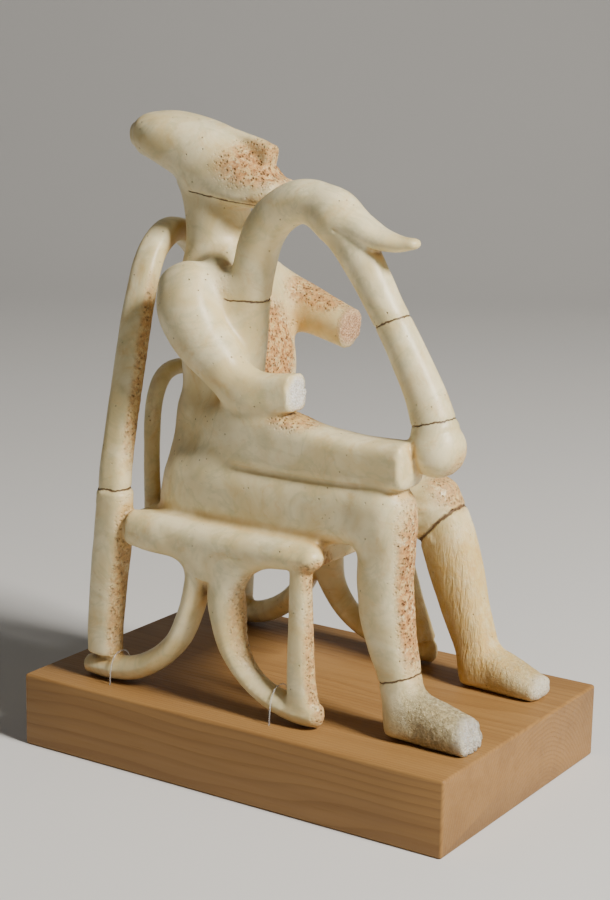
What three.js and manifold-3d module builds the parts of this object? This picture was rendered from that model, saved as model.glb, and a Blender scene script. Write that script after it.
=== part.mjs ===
// A marble harp player seated in a high-backed chair, tied to a block of wood.
//
// Frame: millimetres, +Z up, origin at the centre of the block's underside. The figure looks
// along -Y and its right-hand side is at -X. Places on the marble are given in the carving's own
// frame, whose origin is the centre of the block's top face.
import * as THREE from 'three';
import { mergeVertices } from 'three/addons/utils/BufferGeometryUtils.js';
import { LoftGeometry } from 'three/addons/geometries/LoftGeometry.js';
import Module from 'manifold-3d';

const wasm = await Module();
wasm.setup();

// ---------------------------------------------------------------- driving dimensions
const BLOCK = { x: 125, y: 194, z: 30, bevel: 1.2 };
const REST_GAP = 0.3; // the marble stands this far above the wood
const SIDE_X = 46; // middle of each side frame of the chair
const TIE = { radius: 0.35, reach: 7, rise: 6.4, shoulder: 0.84, steps: 20 };
const TIE_PLACES = [
  ['nylon_tie_rear', 60.6, 5.9],
  ['nylon_tie_front', -16, 7.8],
]; // name, y and the height of the runner's middle
const SIDES = 12; // corners round a limb
const STEPS = 1; // sections between two stations
const DOME_STEPS = 3; // sections in a rounded end

const MARBLE = { color: 0xd9cfb2, roughness: 0.55, metalness: 0 };
const WOOD = { color: 0xb98546, roughness: 0.65, metalness: 0 };
const NYLON = { color: 0xe8eef0, roughness: 0.25, metalness: 0 };

const X_AXIS = new THREE.Vector3(1, 0, 0);
const Y_AXIS = new THREE.Vector3(0, 1, 0);

// ---------------------------------------------------------------- tools
/** A closed three.js geometry as a manifold solid. */
function toSolid(geometry) {
  const bare = new THREE.BufferGeometry();
  bare.setAttribute('position', geometry.attributes.position);
  bare.setIndex(geometry.index);
  const merged = mergeVertices(bare, 1e-4);
  return new wasm.Manifold(
    new wasm.Mesh({
      numProp: 3,
      vertProperties: new Float32Array(merged.attributes.position.array),
      triVerts: new Uint32Array(merged.index.array),
    }),
  );
}

/** A manifold solid as a three.js geometry. */
function toGeometry(solid) {
  const mesh = solid.getMesh();
  const geometry = new THREE.BufferGeometry();
  geometry.setAttribute('position', new THREE.BufferAttribute(mesh.vertProperties, 3));
  geometry.setIndex(new THREE.BufferAttribute(mesh.triVerts, 1));
  geometry.computeVertexNormals();
  return geometry;
}

/**
 * One section: a superellipse round `centre`, square to the way the limb runs.
 * `wide` is its half size along `side`, `deep` the other half size, `square` the exponent, 2 for an
 * ellipse and more for a rounder-cornered block.
 */
function section(centre, tangent, side, wide, deep, square, sides) {
  const across = side.clone().addScaledVector(tangent, -side.dot(tangent)).normalize();
  const other = tangent.clone().cross(across);
  const ring = [];
  for (let i = 0; i < sides; i += 1) {
    const angle = ((i + 0.5) / sides) * 2 * Math.PI;
    const c = Math.cos(angle);
    const s = Math.sin(angle);
    const u = Math.sign(c) * Math.abs(c) ** (2 / square) * wide;
    const v = Math.sign(s) * Math.abs(s) ** (2 / square) * deep;
    ring.push(centre.clone().addScaledVector(across, u).addScaledVector(other, v));
  }
  return ring;
}

/**
 * A limb: sections carried along a smooth path through its stations.
 * A station is [x, y, z, half width along `side`, half depth]. `square` is the sections' exponent.
 * `domeStart` and `domeEnd` round an end off over that length; 0 leaves it flat.
 */
function limb(stations, options = {}) {
  const { side = X_AXIS, square = 2.4, domeStart = 0, domeEnd = 0, sides = SIDES, steps = STEPS } = options;
  const path = new THREE.CatmullRomCurve3(
    stations.map(([x, y, z]) => new THREE.Vector3(x, y, z)),
    false,
    'centripetal',
  );
  const sizes = new THREE.CatmullRomCurve3(
    stations.map(([, , , wide, deep]) => new THREE.Vector3(wide, deep, 0)),
    false,
    'catmullrom',
    0.5,
  );
  const count = (stations.length - 1) * steps;
  const sections = [];
  const dome = (t, length, sign) => {
    const tangent = path.getTangent(t);
    const size = sizes.getPoint(t);
    const rings = [];
    for (let i = 1; i <= DOME_STEPS; i += 1) {
      const angle = (i / (DOME_STEPS + 0.35)) * (Math.PI / 2);
      const centre = path.getPoint(t).addScaledVector(tangent, sign * length * Math.sin(angle));
      const shrink = Math.cos(angle);
      rings.push(section(centre, tangent, side, size.x * shrink, size.y * shrink, square, sides));
    }
    return rings;
  };
  if (domeStart > 0) sections.push(...dome(0, domeStart, -1).reverse());
  for (let i = 0; i <= count; i += 1) {
    const t = i / count;
    const size = sizes.getPoint(t);
    sections.push(section(path.getPoint(t), path.getTangent(t), side, size.x, size.y, square, sides));
  }
  if (domeEnd > 0) sections.push(...dome(1, domeEnd, 1));
  return toSolid(new LoftGeometry(sections, { closed: true, capStart: true, capEnd: true }));
}

/** The same stations on the figure's other side. */
function mirrored(stations) {
  return stations.map(([x, y, z, wide, deep]) => [-x, y, z, wide, deep]);
}

/** Stations that lie in one upright plane, x = `x`, or nearer the middle by their `inset`. */
function inPlane(x, stations) {
  return stations.map(([y, z, wide, deep, inset = 0]) => [x - Math.sign(x) * inset, y, z, wide, deep]);
}

// ---------------------------------------------------------------- the chair
const REAR_POST = [
  [68.8, 6, 6.2, 6.8],
  [68.3, 20, 6.2, 6.8],
  [66.6, 40, 6.4, 7.0],
  [64.4, 58, 6.4, 7.2],
  [63.2, 78, 5.9, 6.6],
];
const FRONT_POST_RIGHT = [
  [-24.6, 62, 3.8, 3.8],
  [-25.0, 38, 4.2, 4.4],
  [-25.4, 18, 4.6, 4.7],
  [-25.8, 5, 5.0, 5.0],
];
const FRONT_POST_LEFT = [
  [-9.5, 62, 3.8, 4.0],
  [-13.4, 46, 4.2, 4.6],
  [-18.6, 28, 4.6, 4.8],
  [-25.4, 9, 5.2, 5.4],
];
const REAR_CURVE = [
  [22, 58, 6.4, 6.0, 1],
  [24, 46, 7.4, 4.8, 1.8],
  [27.5, 34, 7.8, 4.2, 1.9],
  [33.5, 22, 7.8, 4.2, 1.9],
  [43, 12.5, 7.4, 4.6, 1.4],
  [54, 6.8, 6.6, 4.9, 0.6],
  [66, 4.8, 6.0, 5.1],
  [73.5, 4.8, 5.4, 4.8],
];
const FRONT_CURVE_RIGHT = [
  [9, 58, 6.2, 8.0, 1],
  [10, 44, 7.2, 7.6, 1.4],
  [9, 35, 7.4, 6.6, 1.5],
  [6.5, 26, 6.8, 5.8, 0.8],
  [0.5, 17, 6.2, 5.0, 0.3],
  [-8, 10.5, 6.0, 4.8],
  [-18, 7, 6.0, 5.0],
  [-27, 5.4, 5.8, 5.2],
  [-31, 5.4, 5.4, 5.0],
];
const FRONT_CURVE_LEFT = [
  [19, 58, 5.2, 8.0],
  [20.5, 44, 5.8, 7.6],
  [20.5, 35, 6.0, 6.6],
  [18.5, 26, 6.0, 5.8],
  [12.5, 17, 6.0, 5.2],
  [3, 10, 6.0, 4.8],
  [-10, 6.4, 6.0, 5.0],
  [-22, 5.2, 5.8, 5.2],
  [-29.5, 5.2, 5.4, 5.0],
];
const WEB_RIGHT = [
  [13.6, 45, 5.0, 12.4],
  [13.6, 52, 5.2, 14.6],
  [13.6, 60, 5.2, 19.0],
];
const WEB_LEFT = [
  [22, 41, 5.0, 11.0],
  [22, 50, 5.2, 13.6],
  [22, 60, 5.2, 19.0],
];
const RAIL = [
  [54, 64.6, 6.0, 7.4],
  [45, 64.1, 6.4, 7.8],
  [20, 63.6, 6.4, 7.2],
  [0, 64.6, 6.4, 6.6],
  [-20, 65.8, 6.2, 5.6],
  [-28, 66.0, 5.8, 5.2],
];
const BACK_ARCH = [
  [-46, 63.5, 74, 6.2, 5.6],
  [-44.2, 64.0, 88, 6.2, 5.2],
  [-36.5, 65.6, 113.8, 6.2, 4.6],
  [-24.3, 67.8, 150.5, 6.0, 4.6],
  [-14, 69.2, 169.5, 5.8, 4.8],
];
const ARCH_TOP = [0, 69.6, 176.4, 5.8, 5.0];
const INNER_ARCH = [
  [-22.5, 62.5, 66, 3.4, 3.2],
  [-20.6, 64.5, 89, 3.2, 3.0],
  [-17, 66, 109, 3.2, 3.0],
  [-10, 67, 118, 3.2, 3.0],
];
const INNER_TOP = [0, 67.4, 120.5, 3.2, 3.0];
const SEAT = { y: 15.5, z: 65, halfDepth: 45, halfThick: 4.8, halfLength: 43 };

/** One side of the chair: two posts, two curved legs that meet in a web, and the seat rail. */
function sideFrame(x, frontPost, frontCurve, web) {
  return [
    limb(inPlane(x, REAR_POST), { square: 3.2 }),
    limb(inPlane(x, frontPost), { square: 2.6, sides: 12 }),
    limb(inPlane(x, REAR_CURVE), { square: 2.6, domeEnd: 5.5 }),
    limb(inPlane(x, frontCurve), { square: 2.6, domeEnd: 5.5 }),
    limb(inPlane(x, web), { square: 3.5 }),
    limb(inPlane(x, RAIL), { square: 2.8, domeStart: 3, domeEnd: 6 }),
  ];
}

/** An arch from its left half and its crown, mirrored across x = 0. */
function arch(half, crown, options) {
  return limb([...half, crown, ...mirrored(half).reverse()], { side: Y_AXIS, ...options });
}

/** The slab that joins the side frames and carries the figure. */
function seat() {
  const { y, z, halfDepth, halfThick, halfLength } = SEAT;
  return limb(
    [
      [-halfLength, y, z, halfDepth, halfThick],
      [halfLength, y, z, halfDepth, halfThick],
    ],
    { side: Y_AXIS, square: 7 },
  );
}

// ---------------------------------------------------------------- the player
const TORSO = [
  [0, 38.5, 66, 36, 18],
  [0, 39, 78, 34, 17],
  [0, 40, 88, 30, 15],
  [0, 38.5, 98, 28, 15],
  [0, 36.6, 112, 27, 15.1],
  [0, 36, 126, 28, 14.6],
  [0, 38.4, 140, 29, 13.4],
  [0, 40.5, 152, 32, 12.4],
  [0, 42.5, 161, 29, 11],
  [0, 44.5, 167.5, 19, 10],
];
const NECK = [
  [0, 44, 158, 15, 12.5],
  [0, 46.5, 170, 14, 12.4],
  [0, 47.3, 182, 13.8, 12.2],
  [0, 48.5, 196, 13.8, 14.6],
];
const HEAD = [
  [0, 82.4, 213.9, 10.5, 6.4],
  [0, 78.5, 214, 14, 8.9],
  [0, 70, 213, 16.5, 10.6],
  [0, 60, 210.2, 17, 12],
  [0, 49, 206.0, 16.5, 13.0],
  [0, 39, 201.5, 15.5, 12.4],
  [0, 30, 197.6, 13.5, 10.2],
  [0, 23, 195.2, 11, 7.4],
  [0, 19, 194.6, 8.5, 5.4],
];
const NOSE = [
  [0, 50, 218.5, 1.4, 2.0],
  [0, 40, 213.6, 2.6, 4.4],
  [0, 30, 209.4, 3.6, 6.0],
  [0, 22.4, 207.4, 4.2, 5.2],
];
const RIGHT_ARM = [
  [-31.5, 39.5, 160, 9.8, 11.6],
  [-35.5, 36, 152, 10.2, 12.2],
  [-37.2, 28.8, 142, 10, 11],
  [-37.3, 21, 134.6, 9, 9.7],
  [-37, 14.5, 128, 8, 8.6],
  [-36.4, 8.5, 123.8, 7, 8],
  [-35.6, 0, 123, 6.3, 7.6],
  [-34, -13.5, 125.2, 5.6, 6.9],
];
const LEFT_ARM = [
  [30.5, 39, 149, 10, 11],
  [33, 29.5, 146, 9.6, 10],
  [32.5, 18, 142.6, 8.8, 9],
  [31.5, 4.2, 138.5, 7.4, 7.9],
];
const RIGHT_THIGH = [
  [-29, 36, 82, 12, 12.5],
  [-31.5, 20, 82.5, 11.2, 12.5],
  [-32.5, -20, 82.6, 10.4, 12.4],
  [-33, -40, 83.6, 10, 11.8],
  [-33, -53, 84.4, 9.6, 10.6],
];
const RIGHT_SHIN = [
  [-33, -52.5, 86, 9.4, 9.6],
  [-33, -53.8, 72, 9, 10.4],
  [-33, -53.4, 59, 8.7, 10.3],
  [-33, -54.8, 46, 8.5, 10.1],
  [-33, -57.6, 34, 8.1, 8.8],
  [-33, -60.4, 25, 7.7, 7.9],
  [-33.4, -62, 16, 7.6, 7.8],
  [-33.6, -62.5, 4, 7.8, 7.6],
];
const RIGHT_FOOT = [
  [-34, -60, 9, 7.6, 9],
  [-33.4, -67, 9, 8, 9.4],
  [-32.8, -75, 7.4, 8.4, 8.4],
  [-32.4, -83, 5.6, 8.8, 6.6],
  [-32.2, -89.5, 4.4, 8.6, 5.2],
];
const LEFT_THIGH = [
  [29, 36, 80, 12, 12.5],
  [32, 20, 77.5, 11.2, 12],
  [35, -12, 73.4, 10.6, 11.2],
  [37, -31, 71, 10.2, 10.4],
];
const LEFT_SHIN = [
  [37, -33.2, 72, 10, 10.8],
  [37.3, -39, 62, 9.6, 11.2],
  [37, -44.8, 46, 9.2, 11],
  [36.5, -50, 31, 8.6, 9.6],
  [36, -56.4, 15, 8.2, 8.2],
  [36, -59, 4, 8.4, 7.6],
];
const LEFT_FOOT = [
  [35.4, -56.4, 7.6, 7.8, 8.4],
  [35, -64.5, 7.6, 8.4, 8.6],
  [34.6, -72.5, 6.2, 8.8, 7.2],
  [34.4, -80.5, 4.6, 8.8, 5.4],
  [34.4, -85, 3.8, 8.4, 4.4],
];

// ---------------------------------------------------------------- the harp
const SOUND_BOX = [
  [-28, 22, 104.6, 9.6, 10.8],
  [-31, 12, 105.4, 10.4, 12],
  [-32, -5, 105.6, 10, 11.8],
  [-32.2, -20, 103.6, 9.6, 9.8],
  [-32.4, -40, 103, 9.4, 8.6],
  [-32.6, -62, 104, 9.2, 8.4],
];
const HARP_FRAME = [
  [-21, 21.5, 118, 8, 9],
  [-21, 18.6, 140, 7.8, 8.2],
  [-21, 17.2, 156, 7.8, 8],
  [-21, 15, 169.5, 7.9, 8.1],
  [-21.5, 11.3, 180.5, 8, 8.2],
  [-22, 4.5, 189.2, 8, 8.2],
  [-22, -6, 194.6, 8, 8.4],
  [-22.2, -16.4, 193, 8, 8.8],
  [-22.6, -24.6, 187.2, 8, 8.8],
  [-23, -35.2, 173.4, 7.2, 7.6],
  [-23, -44.3, 159.2, 6.8, 6.8],
  [-23, -53.8, 143.6, 6.9, 7],
  [-23.5, -62.6, 128.2, 7.4, 7.6],
  [-24, -67.6, 116, 8.4, 8.8],
];
const BEAK = [
  [-22.6, -28, 187.2, 5.6, 7],
  [-23, -35, 185.4, 5, 5.6],
  [-23, -41.2, 183.4, 4.6, 4.6],
  [-23, -49.6, 182.4, 4.2, 3.2],
  [-23, -54.4, 182.9, 3.6, 2.3],
];
const KNOB = { x: -24, y: -68.4, z: 109.8, radius: 10.8, segments: 16, rings: 10 };

/** The ball at the foot of the harp's front column. */
function knob() {
  const ball = new THREE.SphereGeometry(KNOB.radius, KNOB.segments, KNOB.rings);
  return toSolid(ball.translate(KNOB.x, KNOB.y, KNOB.z));
}

/** The whole marble carving, cut flat underneath where it stands. */
function carving() {
  const solids = [
    ...sideFrame(-SIDE_X, FRONT_POST_RIGHT, FRONT_CURVE_RIGHT, WEB_RIGHT),
    ...sideFrame(SIDE_X, FRONT_POST_LEFT, FRONT_CURVE_LEFT, WEB_LEFT),
    seat(),
    arch(BACK_ARCH, ARCH_TOP, { square: 2.8 }),
    arch(INNER_ARCH, INNER_TOP, { square: 2.4, sides: 10 }),
    limb(TORSO, { square: 3.2, domeEnd: 2.5, sides: 20 }),
    limb(NECK, { square: 2.2 }),
    limb(HEAD, { square: 2.5, domeStart: 4.4, domeEnd: 3.5, sides: 18 }),
    limb(NOSE, { square: 2.2, sides: 10 }),
    limb(RIGHT_ARM, { square: 2.2, domeStart: 9 }),
    limb(LEFT_ARM, { square: 2.1, domeStart: 8 }),
    limb(RIGHT_THIGH, { square: 2.7, domeStart: 11, domeEnd: 9.5 }),
    limb(RIGHT_SHIN, { square: 2.6, domeStart: 8 }),
    limb(RIGHT_FOOT, { square: 2.6, domeStart: 4, domeEnd: 3 }),
    limb(LEFT_THIGH, { square: 2.5, domeStart: 11, domeEnd: 9 }),
    limb(LEFT_SHIN, { square: 2.5, domeStart: 8 }),
    limb(LEFT_FOOT, { square: 2.6, domeStart: 5, domeEnd: 3.5 }),
    limb(SOUND_BOX, { square: 4, domeStart: 4, domeEnd: 2.5 }),
    limb(HARP_FRAME, { square: 2.1 }),
    limb(BEAK, { square: 2.2, sides: 10, domeEnd: 3.5 }),
    knob(),
  ];
  const joined = solids.reduce((sum, solid) => sum.add(solid));
  const ground = new THREE.BoxGeometry(400, 400, 40).translate(0, 0, -20);
  return joined.subtract(toSolid(ground));
}

// ---------------------------------------------------------------- the block and the ties
/** The wooden block, its edges just broken. */
function block() {
  const { x, y, z, bevel } = BLOCK;
  const outline = new THREE.Shape();
  outline.moveTo(-x / 2 + bevel, -y / 2 + bevel);
  outline.lineTo(x / 2 - bevel, -y / 2 + bevel);
  outline.lineTo(x / 2 - bevel, y / 2 - bevel);
  outline.lineTo(-x / 2 + bevel, y / 2 - bevel);
  outline.closePath();
  const solid = new THREE.ExtrudeGeometry(outline, {
    depth: z - 2 * bevel,
    bevelEnabled: true,
    bevelThickness: bevel,
    bevelSize: bevel,
    bevelSegments: 2,
    steps: 1,
  });
  return solid.translate(0, 0, bevel);
}

/** A nylon tie: a thin thread that leaves the block, goes over a runner and back down. */
function tie(y, z) {
  const { radius, reach, rise, shoulder } = TIE;
  const half = [
    [reach, 0],
    [reach, z * 0.8],
    [reach * shoulder, z + rise * shoulder],
    [reach * 0.5, z + rise * 0.98],
  ];
  const place = (x, height) => new THREE.Vector3(x - SIDE_X, y, height);
  const path = new THREE.CatmullRomCurve3([
    ...half.map(([x, height]) => place(-x, height)),
    place(0, z + rise),
    ...half.map(([x, height]) => place(x, height)).reverse(),
  ]);
  const circle = new THREE.Shape().absarc(0, 0, radius, 0, 2 * Math.PI);
  return new THREE.ExtrudeGeometry(circle, { steps: TIE.steps, curveSegments: 3, extrudePath: path });
}

function named(name, geometry, material) {
  const mesh = new THREE.Mesh(geometry, new THREE.MeshStandardMaterial(material));
  mesh.name = name;
  return mesh;
}

const harpPlayer = new THREE.Group();
const figure = new THREE.Group();
figure.position.z = BLOCK.z + REST_GAP;
figure.add(named('harp_player', toGeometry(carving()), MARBLE));
for (const [name, y, z] of TIE_PLACES) {
  figure.add(named(name, tie(y, z), NYLON));
}
harpPlayer.add(figure);
harpPlayer.add(named('wooden_base', block(), WOOD));

export default harpPlayer;
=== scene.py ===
"""A marble harp player on a high-backed chair, tied with nylon thread to a block of wood.

Sizes are millimetres in the carving's own frame: its origin is the centre of the block's top face,
the figure looks along -Y and its right-hand side is at -X. Meshes are handed over in metres.
"""

import logging
import math
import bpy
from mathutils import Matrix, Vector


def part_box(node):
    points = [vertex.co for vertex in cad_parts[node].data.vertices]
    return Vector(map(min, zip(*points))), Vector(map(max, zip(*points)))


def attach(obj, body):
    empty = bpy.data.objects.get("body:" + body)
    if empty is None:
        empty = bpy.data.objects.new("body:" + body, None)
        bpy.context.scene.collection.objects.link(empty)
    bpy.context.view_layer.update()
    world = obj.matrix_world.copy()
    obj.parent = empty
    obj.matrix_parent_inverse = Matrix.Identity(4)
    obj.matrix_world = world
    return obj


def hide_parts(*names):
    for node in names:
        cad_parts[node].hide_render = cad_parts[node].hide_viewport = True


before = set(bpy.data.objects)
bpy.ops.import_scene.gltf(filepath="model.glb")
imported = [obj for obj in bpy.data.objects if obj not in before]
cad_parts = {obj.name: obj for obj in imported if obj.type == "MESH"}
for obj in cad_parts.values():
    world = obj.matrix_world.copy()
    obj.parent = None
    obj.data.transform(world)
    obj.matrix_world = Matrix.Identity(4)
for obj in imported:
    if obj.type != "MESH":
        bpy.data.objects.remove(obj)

from concurrent.futures import ThreadPoolExecutor
from dataclasses import dataclass, field, replace
from enum import Enum
from itertools import product

import bpy
import numpy as np
from mathutils import Matrix, Vector

log = logging.getLogger("harp_player")

MM = 0.001
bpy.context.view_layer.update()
BLOCK_LOW, BLOCK_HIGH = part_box("wooden_base")
BLOCK_TOP = BLOCK_HIGH.z
BODY = "root"

Array = np.ndarray
Point = tuple[float, float, float]
Rows = tuple[tuple[float, ...], ...]


class Across(Enum):
    """The direction in which a limb's half width is measured."""

    X = (1.0, 0.0, 0.0)
    Y = (0.0, 1.0, 0.0)


class Slot(Enum):
    """The record's material slots."""

    MARBLE = "marble"
    WOOD = "wood"
    NYLON = "nylon"


class Mask(Enum):
    """Surface attributes that the marble's finish reads."""

    # how closed in a place is; the finish paints shade in the hollows from it
    CAVITY = "cavity"
    # the crust, and painted shade under the rail, the jaw and the forearm and on front faces
    CRUST_AND_SHADE = "crust"
    OCHRE = "ochre"
    BREAK = "broken"
    FRESH = "fresh"
    WORN = "worn"


# ------------------------------------------------------------------ arithmetic on whole arrays
def smoothstep(low: float, high: float, value: Array) -> Array:
    """0 below `low`, 1 above `high` and an S-shaped rise between: 3 t^2 - 2 t^3."""
    t = np.clip((value - low) / (high - low), 0.0, 1.0)
    return t * t * (3.0 - 2.0 * t)


def smooth_union(first: Array, second: Array, blend: float | Array) -> Array:
    """The lesser of two fields, rounded over `blend` where they are nearly equal.

    The rounding is h * h * blend / 4, with h falling from 1 where the fields are equal to 0 where
    they differ by `blend`.

    Args:
        first: one field's distances.
        second: the other field's distances at the same points.
        blend: the width of the rounding, one number or one to a point.

    Returns:
        The united distances.
    """
    h = np.maximum(blend - np.abs(first - second), 0.0) / blend
    return np.minimum(first, second) - h * h * blend / 4.0


HASH_AXES = np.array([73856093, 19349663, 83492791])
HASH_SEED = 9176263
HASH_MIX = ((15, 2246822519), (13, 3266489917))
HASH_BITS = 0xFFFFFFFF
VALUE_BITS = 0xFFFF


def lattice_noise(points: Array, cell: float, seed: int) -> Array:
    """Smooth noise: a random value at each corner of a lattice, eased between them.

    Args:
        points: the places, one to a row.
        cell: the lattice's spacing.
        seed: which of many such noises to give.

    Returns:
        A number from -1 to 1 for each point.
    """
    scaled = points / cell
    base = np.floor(scaled).astype(np.int64)
    part = scaled - base
    part = part * part * (3.0 - 2.0 * part)
    total = np.zeros(len(points))
    for corner in product((0, 1), repeat=3):
        key = (base + corner) @ HASH_AXES + seed * HASH_SEED
        for shift, factor in HASH_MIX:
            key = (key ^ (key >> shift)) * factor & HASH_BITS
        value = ((key ^ (key >> 16)) & VALUE_BITS) / (VALUE_BITS / 2) - 1.0
        weight = np.where(np.array(corner) == 1, part, 1.0 - part).prod(axis=1)
        total += value * weight
    return total


def spline(points: Array, per_span: int, centripetal: bool) -> Array:
    """Points along a Catmull-Rom curve.

    Args:
        points: the curve's own points, one to a row.
        per_span: how many steps to take between two of them.
        centripetal: whether the knots are spaced by the root of the distance.

    Returns:
        The points on the curve, one to a row, ends included.
    """
    padded = np.vstack([2 * points[0] - points[1], points, 2 * points[-1] - points[-2]])
    p0, p1, p2, p3 = padded[:-3], padded[1:-2], padded[2:-1], padded[3:]
    gaps = np.sqrt(np.linalg.norm(np.diff(padded, axis=0), axis=1))[:, None]
    gaps = gaps if centripetal else np.ones_like(gaps)
    d0, d1, d2 = gaps[:-2], gaps[1:-1], gaps[2:]
    start = ((p1 - p0) / d0 - (p2 - p0) / (d0 + d1) + (p2 - p1) / d1) * d1
    stop = ((p2 - p1) / d1 - (p3 - p1) / (d1 + d2) + (p3 - p2) / d2) * d1
    t = (np.arange(per_span) / per_span)[None, :, None]
    c2 = -3 * p1 + 3 * p2 - 2 * start - stop
    c3 = 2 * p1 - 2 * p2 + start + stop
    curve = p1[:, None] + start[:, None] * t + c2[:, None] * t**2 + c3[:, None] * t**3
    return np.vstack([curve.reshape(-1, points.shape[1]), points[-1]])


def unit(rows: Array) -> Array:
    """Each row scaled to length 1."""
    return rows / np.maximum(np.linalg.norm(rows, axis=-1, keepdims=True), 1e-12)


# ------------------------------------------------------------------ solids as fields
FAR = 40.0  # the distance given where nothing is near
REACH = 9.0  # how far round a solid its distance is worked out
SPAN_STEPS = 10  # steps between two of a path's stations
CHUNK = 30000  # points worked on at once
THREADS = 4
UNBOUNDED = 1e4  # a half width that never limits a solid
TINY = 1e-9
FLAT_SLOPE = 1e-4  # the least squared slope a distance is divided by


@dataclass(frozen=True)
class Fillet:
    """A fillet's width, which changes along Y from `front` at `start` to `back` at `stop`."""

    front: float
    back: float
    start: float
    stop: float

    def at(self, points: Array) -> Array:
        """The width at each point."""
        return self.front + (self.back - self.front) * smoothstep(self.start, self.stop, points[:, 1])


def fillet_at(blend: float | Fillet, points: Array) -> float | Array:
    """A fillet's width at each point, whichever way it is given."""
    return blend.at(points) if isinstance(blend, Fillet) else blend


@dataclass(frozen=True)
class Break:
    """A broken face: a plane through `at` whose outer side, along `out`, is lost.

    `rough` is how far the face stands off the plane, and `edge` is the rounding at its rim.
    `notches` are the pitch and depth of the hollows between toes, which run up the face.
    """

    at: Point
    out: Point
    rough: float = 0.5
    edge: float = 0.6
    notches: tuple[float, float] = (1.0, 0.0)

    def distance(self, points: Array) -> Array:
        """Distance outside the face.

        It is the distance outside the plane, plus noise of two sizes, plus the cube of a cosine
        wave along X for the notches.

        Args:
            points: the places, one to a row.

        Returns:
            The distances, negative on the side that is kept.
        """
        offset = points - np.array(self.at)
        flat = offset @ unit(np.array(self.out))
        uneven = 0.6 * lattice_noise(points, 3.1, 21) + 0.4 * lattice_noise(points, 1.6, 22)
        pitch, depth = self.notches
        waves = 0.5 + 0.5 * np.cos(2 * math.pi * offset[:, 0] / pitch)
        return flat + self.rough * uneven + depth * waves**3

    def cut(self, values: Array, points: Array) -> Array:
        """A field with everything beyond the face taken off.

        Args:
            values: the field's distances.
            points: where they were taken.

        Returns:
            The new distances.
        """
        near = np.abs(values) < FAR / 2
        out = values.copy()
        out[near] = -smooth_union(-values[near], -self.distance(points[near]), self.edge)
        return out


@dataclass(frozen=True)
class Limb:
    """A rounded-square profile carried along a smooth path.

    A station is x, y, z, half width and half depth. `square` is the profile's exponent: 2 is an
    ellipse and a larger one is blockier. An end is a dome of the given length. `blend` is the
    width of the fillet to whatever was carved before it.
    """

    stations: Rows
    across: Across = Across.X
    square: float = 2.4
    start: float = 0.7
    end: float = 0.7
    blend: float | Fillet = 2.0
    broken: Break | None = None

    def track(self) -> dict[str, Array]:
        """The path, sampled finely.

        Returns:
            Its centres, tangents, profile axes and half sizes, each with one row to a sample.
        """
        rows = np.array(self.stations)
        centre = spline(rows[:, :3], SPAN_STEPS, True)
        sizes = spline(rows[:, 3:], SPAN_STEPS, False)
        tangent = unit(np.gradient(centre, axis=0))
        side = np.array(self.across.value)
        wide = unit(side - tangent * (tangent @ side)[:, None])
        return {
            "centre": centre,
            "tangent": tangent,
            "wide": wide,
            "deep": np.cross(tangent, wide),
            "sizes": sizes,
        }

    def field(self, points: Array) -> Array:
        """Signed distance, negative inside.

        In the nearest profile's plane, flat is ((|u| / a)^n + (|v| / b)^n)^(1 / n). Past an end,
        rho is the root of flat squared plus the square of the distance over the dome's length. The
        distance is the greater of (flat - 1) and (rho - 1), each over its own gradient's length.

        Args:
            points: the places, one to a row.

        Returns:
            The distances.
        """
        out = np.full(len(points), FAR)
        track = self.track()
        margin = track["sizes"].max() + max(self.start, self.end) + REACH
        low = track["centre"].min(axis=0) - margin
        high = track["centre"].max(axis=0) + margin
        near = np.flatnonzero(((points > low) & (points < high)).all(axis=1))
        for first in range(0, len(near), CHUNK):
            rows = near[first : first + CHUNK]
            out[rows] = self._distance(points[rows], track)
        return self.broken.cut(out, points) if self.broken else out

    def _distance(self, points: Array, track: dict[str, Array]) -> Array:
        """The field at points that are known to be near.

        Args:
            points: the places, one to a row.
            track: the path's samples.

        Returns:
            The distances, never below minus the lesser half size.
        """
        centre = track["centre"]
        last = len(centre) - 1
        squares = (centre**2).sum(axis=1)[None] - 2 * points @ centre.T
        nearest = squares.argmin(axis=1)
        along = ((points - centre[nearest]) * track["tangent"][nearest]).sum(axis=1)
        other = np.clip(nearest + np.sign(along).astype(int), 0, last)
        gap = np.linalg.norm(centre[other] - centre[nearest], axis=1)
        share = np.where(gap > 0, np.clip(np.abs(along) / np.maximum(gap, TINY), 0, 1), 0)[:, None]
        mid = {key: rows[nearest] * (1 - share) + rows[other] * share for key, rows in track.items()}
        offset = points - mid["centre"]
        u = np.abs((offset * mid["wide"]).sum(axis=1))
        v = np.abs((offset * mid["deep"]).sum(axis=1))
        beyond = np.where(gap > 0, 0.0, np.abs(along))
        dome = np.where(nearest == 0, self.start, self.end)
        a, b = mid["sizes"].T
        n = self.square
        flat = np.maximum((u / a) ** n + (v / b) ** n, TINY) ** (1 / n)
        rho = np.sqrt(flat**2 + (beyond / dome) ** 2)
        steep = (u / a) ** (2 * n - 2) / a**2 + (v / b) ** (2 * n - 2) / b**2
        steep = steep * flat ** (2 - 2 * n)
        side = (flat - 1.0) / np.sqrt(np.maximum(steep, FLAT_SLOPE))
        slope = steep * flat**2 / rho**2 + (beyond / dome**2 / rho) ** 2
        whole = (rho - 1.0) / np.sqrt(np.maximum(slope, FLAT_SLOPE))
        return np.maximum(np.maximum(side, whole), -np.minimum(a, b))


@dataclass(frozen=True)
class Ball:
    """A ball, wherever the carving has one."""

    centre: Point
    radius: float
    blend: float = 2.0

    def field(self, points: Array) -> Array:
        """Distance to the centre less the radius."""
        return np.linalg.norm(points - np.array(self.centre), axis=1) - self.radius


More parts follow.
